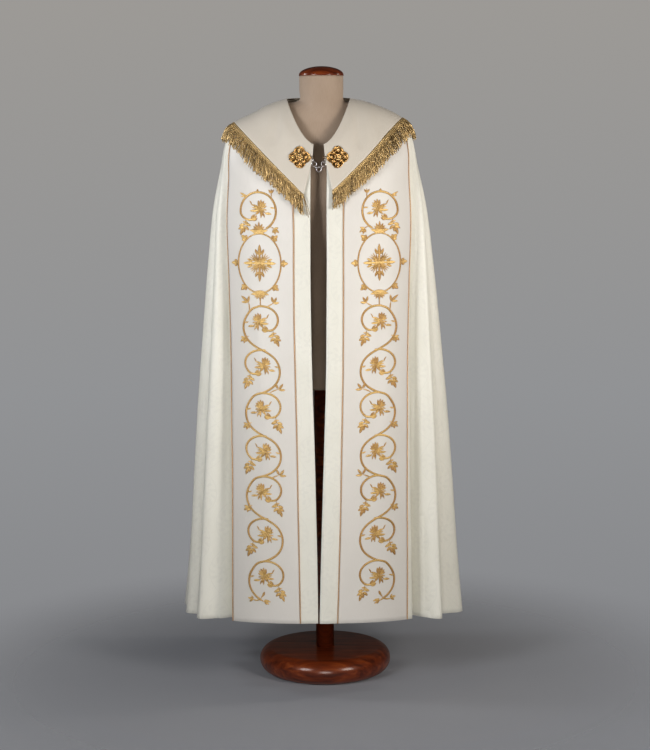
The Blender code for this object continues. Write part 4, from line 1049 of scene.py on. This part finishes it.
bullion = thread_material("gold_bullion", (0.052, 0.026, 0.006), (0.640, 0.440, 0.190), 0.36, 0.6,
                          2 / STRAND_TWIST, -STRAND_TWIST / (2 * math.pi * STRAND_RADIUS), 0.0004,
                          mixed=0.9)
for word, side in SIDES.items():
    places, length = even_places(side, HEADING_STEPS)
    along = np.linspace(0, length, HEADING_STEPS)[:, None]
    row = np.linspace(0, PLAIT_ROWS, PLAIT_ROWS * PLAIT_POINTS + 1)
    drops = GAP + (HEADING_RUN - GAP) * row / PLAIT_ROWS
    bulge = np.abs(np.sin(math.pi * row)) ** 0.6
    plait = 0.5 + 0.5 * np.cos(2 * math.pi * along / PLAIT_PITCH + math.pi * np.floor(row))
    high = HOOD_LIFT + FRINGE_WALL * (HEADING_GROUND + bulge * (ROW_BULGE + PLAIT_RISE * plait))
    under = np.linspace(HEADING_RUN, GAP, 3)
    upper = fringe_points(places[:, None], drops, high)
    lower = fringe_points(places[:, None], under, np.full((HEADING_STEPS, 3), HOOD_LIFT))
    uv = points_of(along, np.concatenate([drops, under]))
    parts = [rods(np.concatenate([upper, lower], axis=1)[None], uv[None])]

    dice = np.random.default_rng(17 + side)
    t = np.linspace(0, 1, STRAND_ROWS)[None]
    column = (STRANDS, 1)
    for layer, (rise, share) in enumerate(STRAND_LAYERS):
        roots, _ = even_places(side, STRANDS + 2)
        step = np.abs(np.diff(roots)).mean()
        moved = dice.uniform(-ROOT_JITTER, ROOT_JITTER, STRANDS) + layer / len(STRAND_LAYERS)
        roots = roots[1:-1] + moved * step
        each, tied = np.arange(STRANDS), np.arange(0, STRANDS + CLUMP, CLUMP)
        clump = np.interp(each, tied, dice.normal(0, 1, len(tied)))[:, None]
        shorter = np.interp(each, tied, dice.uniform(0, CLUMP_SHORTER, len(tied)))
        trim = 1 - SHOULDER_TRIM * np.sin(hood_angle(roots, hood_reach(roots))) ** 2
        reach = STRAND_RUN * share * trim * (dice.uniform(SHORTEST, 1.0, STRANDS) - shorter)
        begin = HEADING_RUN * dice.uniform(*BEGIN, column)
        drop = begin + t * (HEADING_RUN + reach[:, None] - begin)
        sway = (SWAY * dice.normal(0, 1, column) + CLUMP_SWAY * clump) * t ** 1.4
        crimps = dice.uniform(*CRIMPS, column)
        crimp = 2 * math.pi * (t * crimps + dice.uniform(0, 1, column))
        sway = sway + CRIMP_SWAY * np.sin(crimp) * np.minimum(4 * t, 1)
        place = side * np.clip(side * (roots[:, None] + sway * step), 0.0005, 0.9995)
        loose = CRIMP_LIFT * np.cos(crimp * 0.8) * np.minimum(3 * t, 1)
        lift = HOOD_LIFT + STRAND_START + (rise - STRAND_START) * np.minimum(5 * t, 1) + loose
        radius = STRAND_RADIUS * dice.uniform(*THICKNESS, column) * np.where(t > 0.97, 0.6, 1.0)
        parts.append(twists(place, drop, lift, radius, dice.uniform(0, 1, column)))
    if word == "left":
        root, end, share = np.array(LONG_THREADS).T[..., None]
        drop = HEADING_RUN * 0.5 + t * STRAND_RUN * share
        place = side * (root + (end - root) * np.sin(math.pi / 2 * t) ** 1.5)
        radius = STRAND_RADIUS * LONG_THICKNESS * np.ones_like(drop)
        parts.append(twists(place, drop, np.full(drop.shape, HOOD_LIFT + 0.0015), radius, root))
    points, faces, uv = joined(parts)
    fringe = new_piece("bullion_fringe_" + word, points, faces, bullion, uv)
    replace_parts(fringe, "fringe_" + word)


# ---------------------------------------------------------------- clasps
# A cast and gilt plate with four lobes on each side of the chest, its face chased with a rosette, scrolls
# and beads. It is pinned through the hood.
CLASP_X, CLASP_Z = 0.048, 1.4185
CLASP_RADIUS = 0.0285
CLASP_WAIST, LOBE_POWER = 0.76, 1.2
# The plate's section as (share of the way out to the edge, height), from the middle of its back round the
# edge to the middle of its face. The edge is scalloped, from a share of the way out.
CLASP_RIM = ((0.5, 0.0), (0.97, 0.0), (1.0, 0.0006), (1.0, 0.0016), (0.975, 0.0026), (0.94, 0.0030),
             (0.90, 0.0026), (0.865, 0.0015), (0.80, 0.0013), (0.55, 0.0014), (0.25, 0.0016))
CLASP_SIDES, SCALLOPS, SCALLOP_DEPTH, SCALLOPED_FROM = 144, 24, 0.018, 0.93
# Wire rings as (how many, first turn in degrees, distance out, radius), the last two as shares of the
# plate's radius, and domes as (how many, first turn, distance out, half length, half width, height). The
# small beads follow the edge.
CLASP_RINGS = ((4, 0.0, 0.64, 0.175), (4, 45.0, 0.50, 0.125))
EDGE_BEADS = 28
CLASP_DOMES = (
    (8, 22.5, 0.24, 0.0036, 0.0021, 0.0026), (4, 0.0, 0.64, 0.0033, 0.0033, 0.0034),
    (4, 45.0, 0.50, 0.0026, 0.0026, 0.0029), (1, 0.0, 0.0, 0.0035, 0.0035, 0.0042),
    (EDGE_BEADS, 0.0, 0.84, 0.0011, 0.0011, 0.0012), (4, 0.0, 0.88, 0.0024, 0.0024, 0.0026),
)
RING_WIRE, RING_FLAT, RING_STEPS, RING_SIDES = 0.0011, 0.75, 32, 8
DOME_ROWS, DOME_SIDES = 7, 12
# Where rings and domes stand on the plate, the height from which a painted highlight brightens the
# gilding, and over how far. Below it the recess keeps a darker painted shade.
RELIEF_FOOT, PAINTED_HIGHLIGHT_FROM, PAINTED_HIGHLIGHT_SPAN = 0.0022, 0.0015, 0.0032
gilt, tree, shader = new_material("gilt_brass", 0.26, 1.0)
place = add_node(tree, "ShaderNodeTexCoord").outputs["Object"]
worn = noise(tree, place, 240.0, 3.0, "3D")
# The edge attribute is how raised a point is: it paints the relief brighter, a painted highlight, and
# leaves the recess darker, a painted shade. The worn noise is wear of the gilding.
high = add_node(tree, "ShaderNodeAttribute", attribute_name="edge").outputs["Fac"]
tone = calc(tree, "MULTIPLY_ADD", worn, 0.4, calc(tree, "MULTIPLY", high, 0.8))
tree.links.new(ramp(tree, tone, (0.12, (0.115, 0.053, 0.017)), (0.45, (0.50, 0.280, 0.085)),
                    (0.95, (1.00, 0.700, 0.320))), shader.inputs["Base Color"])
tree.links.new(calc(tree, "MULTIPLY_ADD", worn, 0.20, 0.17), shader.inputs["Roughness"])


def on_front(x, z):
    """Angle and run of the front of the drape at a place given by its width and height."""
    def angle_at(x, run):
        sideways = np.clip((x - CLOTH_X) / ring("half_width", run), -1, 1)
        return np.sign(sideways) * (math.pi - np.arcsin(np.abs(sideways)))

    heights = drape(angle_at(x[..., None], SOUGHT_RUNS), SOUGHT_RUNS)[..., 2]
    run = run_of_drop(heights - z[..., None])
    return angle_at(x, run), run


def wire_loops(centre, radius, wire, axes, steps, sides):
    """Rings of wire as (ring, step, side) points: a circle swept round a circle in the plane of the first
    two axes. The wire is as thick as it is wide where the third is as long as they are."""
    turn, round_wire = circle(steps), circle(sides)
    away = points_of(np.cos(turn), np.sin(turn)) @ axes[:2]
    reach = radius[:, None, None] + wire * np.cos(round_wire)
    thick = wire * np.sin(round_wire)[:, None] * axes[2]
    return centre[:, None, None] + reach[..., None] * away[:, None] + thick


def loop_faces(count, steps, sides):
    """Faces of closed rings of wire."""
    index = np.arange(steps * sides).reshape(steps, sides)
    beside, after = np.roll(index, -1, axis=1), np.roll(index, -1, axis=0)
    one = np.stack([index, after, np.roll(after, -1, axis=1), beside], axis=-1).reshape(-1, 4)
    return (one + steps * sides * np.arange(count)[:, None, None]).reshape(-1, 4)


def domes(centre, size):
    """Domes that stand on the plate: squashed balls as (ball, ring, side) offsets and heights, with (half
    length, half width, height, turn of its length) for each."""
    tilt, turn = np.linspace(0, math.pi, DOME_ROWS + 2)[1:-1, None], circle(DOME_SIDES)
    x, y = centre.T[..., None, None]
    long, wide, tall, lean = size.T[..., None, None]
    u, v = long * np.sin(tilt) * np.cos(turn), wide * np.sin(tilt) * np.sin(turn)
    return points_of(x + u * np.cos(lean) - v * np.sin(lean), y + u * np.sin(lean) + v * np.cos(lean),
                     RELIEF_FOOT + tall * np.cos(tilt))


def lobed(turn):
    """How far out the plate's edge is at a turn, as a share of its radius: the absolute cosine of twice
    the turn, to a power, over a waist."""
    return CLASP_WAIST + (1 - CLASP_WAIST) * np.abs(np.cos(2 * turn)) ** LOBE_POWER


turn = circle(CLASP_SIDES)
shares, heights = np.array(CLASP_RIM).T[..., None]
scallop = np.where(shares > SCALLOPED_FROM, 1 + SCALLOP_DEPTH * np.cos(SCALLOPS * turn), 1.0)
reach = shares * CLASP_RADIUS * lobed(turn) * scallop
plate = points_of(reach * np.cos(turn), reach * np.sin(turn), heights)
spots, sizes = [], []
for count, first, share, radius in CLASP_RINGS:
    reach = share * CLASP_RADIUS
    spots.append(ellipse(circle(count) + math.radians(first), reach, reach))
    sizes.append(np.full(count, radius * CLASP_RADIUS))
spots = points_of(*np.concatenate(spots).T, RELIEF_FOOT)
rings = wire_loops(spots, np.concatenate(sizes), RING_WIRE, np.diag([1, 1, RING_FLAT]), RING_STEPS,
                   RING_SIDES)
spots, sizes = [], []
for count, first, share, long, wide, tall in CLASP_DOMES:
    turn = circle(count) + math.radians(first)
    reach = share * CLASP_RADIUS * (lobed(turn) if count == EDGE_BEADS else 1)
    spots.append(ellipse(turn, reach, reach))
    sizes.append(points_of(long, wide, tall, turn if long > wide else 0 * turn))
relief = domes(np.concatenate(spots), np.concatenate(sizes))
flat = rings.reshape(-1, 3)
local, faces, uv = joined([rods(plate[None], plate[None, ..., :2]),
                           (flat, loop_faces(len(rings), RING_STEPS, RING_SIDES), flat[:, :2]),
                           rods(relief, relief[..., :2])])
# How raised a point is, which paints a highlight on the relief and shade in the recess.
raised = np.clip((local[:, 2] - PAINTED_HIGHLIGHT_FROM) / PAINTED_HIGHLIGHT_SPAN, 0, 1)
for word, side in SIDES.items():
    angle, run = on_front(CLOTH_X + side * CLASP_X + local[:, 0], CLASP_Z + local[:, 1])
    points = lifted(drape, angle, run, HOOD_LIFT + HOOD_WALL + GAP + local[:, 2])
    clasp = new_piece("clasp_plate_" + word, points, faces, gilt, uv, raised)
    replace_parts(clasp, "clasp_" + word)


# ---------------------------------------------------------------- eyes and chain
# A small ring at the inner point of each clasp, and seven links of bright wire hanging between them, each
# turned a quarter from the last.
EYE_RADIUS, LINK_RADIUS, LINK_WIRE = 0.0040, 0.0062, 0.0008
LINK_COUNT, LINK_PLAY, CHAIN_DROP = 7, 0.0006, 0.0310
EYE_HEIGHT = 0.0011
WIRE_STEPS, WIRE_SIDES, CHAIN_POINTS = 40, 12, 200
silver, tree, shader = new_material("bright_wire", 0.18, 1.0, Base_Color=(0.88, 0.88, 0.91, 1.0))


def wire_ring(name, centre, radius, axes, look):
    """A ring of round wire in the plane of two unit axes."""
    axes = np.array([*axes, np.cross(*axes)])
    points = wire_loops(centre[None], np.array([radius]), LINK_WIRE, axes, WIRE_STEPS, WIRE_SIDES)
    uv = points_of(radius * circle(WIRE_STEPS)[:, None], LINK_WIRE * circle(WIRE_SIDES))
    return new_piece(name, points, loop_faces(1, WIRE_STEPS, WIRE_SIDES), look, uv)


reach = EYE_RADIUS + LINK_WIRE + GAP
plate_x = np.array([CLASP_RADIUS - CLASP_X, CLASP_X - CLASP_RADIUS])
angle, run = on_front(CLOTH_X + plate_x - np.sign(plate_x) * reach, np.full(2, CLASP_Z))
centres = lifted(drape, angle, run, HOOD_LIFT + HOOD_WALL + GAP + EYE_HEIGHT)
rises = drape(angle, run - NUDGE) - drape(angle, run + NUDGE)
for word, centre, rise in zip(SIDES, centres, rises):
    axes = (np.array([1.0, 0.0, 0.0]), unit(rise))
    eye = wire_ring("chain_eye_" + word, centre, EYE_RADIUS, axes, gilt)
    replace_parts(eye, "clasp_eye_" + word)

(left, forward, top), (right, _, _) = centres
away = np.array([0.0, -1.0, 0.0])
turn = np.linspace(0, math.pi, CHAIN_POINTS)
line = points_of((left + right) / 2 - (right - left) / 2 * np.cos(turn), forward,
                 top - CHAIN_DROP * np.sin(turn))
lengths = lengths_along(line)


def chain_point(far):
    """The chain's place at a distance along it."""
    return np.array([np.interp(far, lengths, line[:, k]) for k in range(3)])


first = EYE_RADIUS + LINK_RADIUS - 2 * LINK_WIRE - LINK_PLAY
for number, far in enumerate(np.linspace(first, lengths[-1] - first, LINK_COUNT), start=1):
    centre = chain_point(far)
    along = unit(chain_point(far + NUDGE) - centre)
    axes = (along, away if number % 2 else np.cross(along, away))
    link = wire_ring("wire_link_%d" % number, centre, LINK_RADIUS, axes, silver)
    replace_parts(link, "chain_link_%d" % number)


# ---------------------------------------------------------------- dress form
# A limbless tailor's form: a padded torso under stretched tan linen, a turned wooden cap on the neck, a
# wooden pole and a round polished foot.
BASE_RADIUS, BASE_EDGE = 0.1815, 0.0335
POLE_RADIUS = 0.0250
FORM_BOTTOM_Z = 0.800
NECK_TOP_Z = 1.6355
CAP_RADIUS, CAP_HEIGHT, CAP_LIP = 0.0600, 0.0255, 0.0020
# How far the shoulders stay under the cloth.
SEAT = 0.0013
FORM_STEPS, FORM_SIDES, POLE_SIDES = 6, 128, 64
CAP_STEPS, CAP_SIDES, BASE_STEPS, BASE_SIDES = 24, 96, 33, 160
FORM_COLUMNS = ("front_z", "side_z", "back_z", "half_width", "front_depth", "back_depth", "centre_x")
NECK_ROWS = (
    (1.6355, 1.6355, 1.6355, 0.0590, 0.0590, 0.0590, 0.0),
    (1.6000, 1.6000, 1.6000, 0.0590, 0.0590, 0.0590, 0.0),
    (1.5550, 1.5710, 1.5780, 0.0605, 0.0610, 0.0600, 0.0),
)
SHOULDER_RUNS = (0.012, 0.050, 0.090, 0.125, 0.150)
SHOULDER_FRONT = ((1.520, 0.066), (1.488, 0.078), (1.455, 0.090), (1.425, 0.099), (1.400, 0.105))
SHOULDER_BACK = ((1.553, 0.062), (1.520, 0.078), (1.480, 0.092), (1.440, 0.104), (1.410, 0.112))
BODY_ROWS = (
    (1.360, 1.440, 1.365, 0.2160, 0.1120, 0.1180, CLOTH_X),
    (1.300, 1.360, 1.300, 0.1980, 0.1180, 0.1190, CLOTH_X),
    (1.220, 1.250, 1.220, 0.1780, 0.1160, 0.1120, CLOTH_X / 2),
    (1.120, 1.120, 1.120, 0.1580, 0.1020, 0.1000, 0.0),
    (1.040, 1.040, 1.040, 0.1530, 0.0980, 0.0990, 0.0),
    (0.940, 0.940, 0.940, 0.1680, 0.1060, 0.1120, 0.0),
    (0.860, 0.860, 0.860, 0.1740, 0.1100, 0.1180, 0.0),
    (0.800, 0.800, 0.800, 0.1700, 0.1070, 0.1140, 0.0),
)
linen = cloth_material("tan_linen", (0.400, 0.300, 0.222), (0.330, 0.240, 0.170), 0.82, 1100, 1.0,
                       sheen=0.1)
mahogany, tree, shader = new_material("polished_mahogany", 0.34, Coat_Weight=0.55, Coat_Roughness=0.16,
                                      Coat_Tint=(1.0, 0.62, 0.42, 1), Specular_IOR_Level=0.25)
place = add_node(tree, "ShaderNodeTexCoord").outputs["Object"]
stretched = add_node(tree, "ShaderNodeMapping", {"Vector": place, "Scale": (9.0, 70.0, 70.0)}).outputs[0]
grain = noise(tree, stretched, 1.0, 5.0, "3D", Distortion=0.6)
tree.links.new(ramp(tree, grain, (0.30, (0.055, 0.011, 0.004)), (0.55, (0.145, 0.031, 0.008)),
                    (0.75, (0.250, 0.065, 0.014))), shader.inputs["Base Color"])


def turned(name, profile, sides, look):
    """A body turned on the Z axis from (radius, height) pairs."""
    radius, height = np.array(profile).T[..., None]
    points = points_of(radius * np.cos(circle(sides)), radius * np.sin(circle(sides)), height)
    points, faces, uv = rods(points[None], points[None, ..., :2])
    return new_piece(name, points, faces, look, uv)


rows = list(NECK_ROWS)
for run, (front_z, front_depth), (back_z, back_depth) in zip(SHOULDER_RUNS, SHOULDER_FRONT, SHOULDER_BACK):
    side_z = min(ring("left_z", np.array(run)), ring("right_z", np.array(run))) - SEAT
    half_width = ring("half_width", np.array(run))
    rows.append((front_z, side_z, back_z, half_width, front_depth, back_depth, CLOTH_X))
known = np.array(rows + list(BODY_ROWS), float)
places = np.linspace(0, len(known) - 1, FORM_STEPS * (len(known) - 1) + 1)
table = {column: smooth(places, np.arange(len(known)), known[:, k])[:, None]
         for k, column in enumerate(FORM_COLUMNS)}
angle = circle(FORM_SIDES)
front = np.cos(angle) < 0
depth = np.where(front, table["front_depth"], table["back_depth"])
centre_z = np.where(front, table["front_z"], table["back_z"])
points = points_of(table["centre_x"] + table["half_width"] * np.sin(angle), depth * np.cos(angle),
                   centre_z * np.cos(angle) ** 2 + table["side_z"] * np.sin(angle) ** 2)
uv = points_of(0.1 * angle, points[..., 2])
points, faces, uv = rods(points[None], uv[None])
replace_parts(new_piece("linen_torso", points, faces, linen, uv), "form_torso")

bottom = NECK_TOP_Z + GAP
arc = np.radians(np.linspace(88, 0, CAP_STEPS))
dome = list(zip(CAP_RADIUS * np.cos(arc), bottom + CAP_LIP + (CAP_HEIGHT - CAP_LIP) * np.sin(arc)))
cap = turned("turned_cap", dome + [(CAP_RADIUS, bottom)], CAP_SIDES, mahogany)
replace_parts(cap, "form_cap")
arc = np.radians(np.linspace(0, 180, BASE_STEPS))
rim = list(zip(BASE_RADIUS - BASE_EDGE + BASE_EDGE * np.sin(arc), BASE_EDGE + BASE_EDGE * np.cos(arc)))
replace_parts(turned("round_foot", rim, BASE_SIDES, mahogany), "form_base")
pole = turned("wooden_pole", [(POLE_RADIUS, FORM_BOTTOM_Z - GAP), (POLE_RADIUS, 2 * BASE_EDGE + GAP)],
              POLE_SIDES, mahogany)
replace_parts(pole, "form_pole")
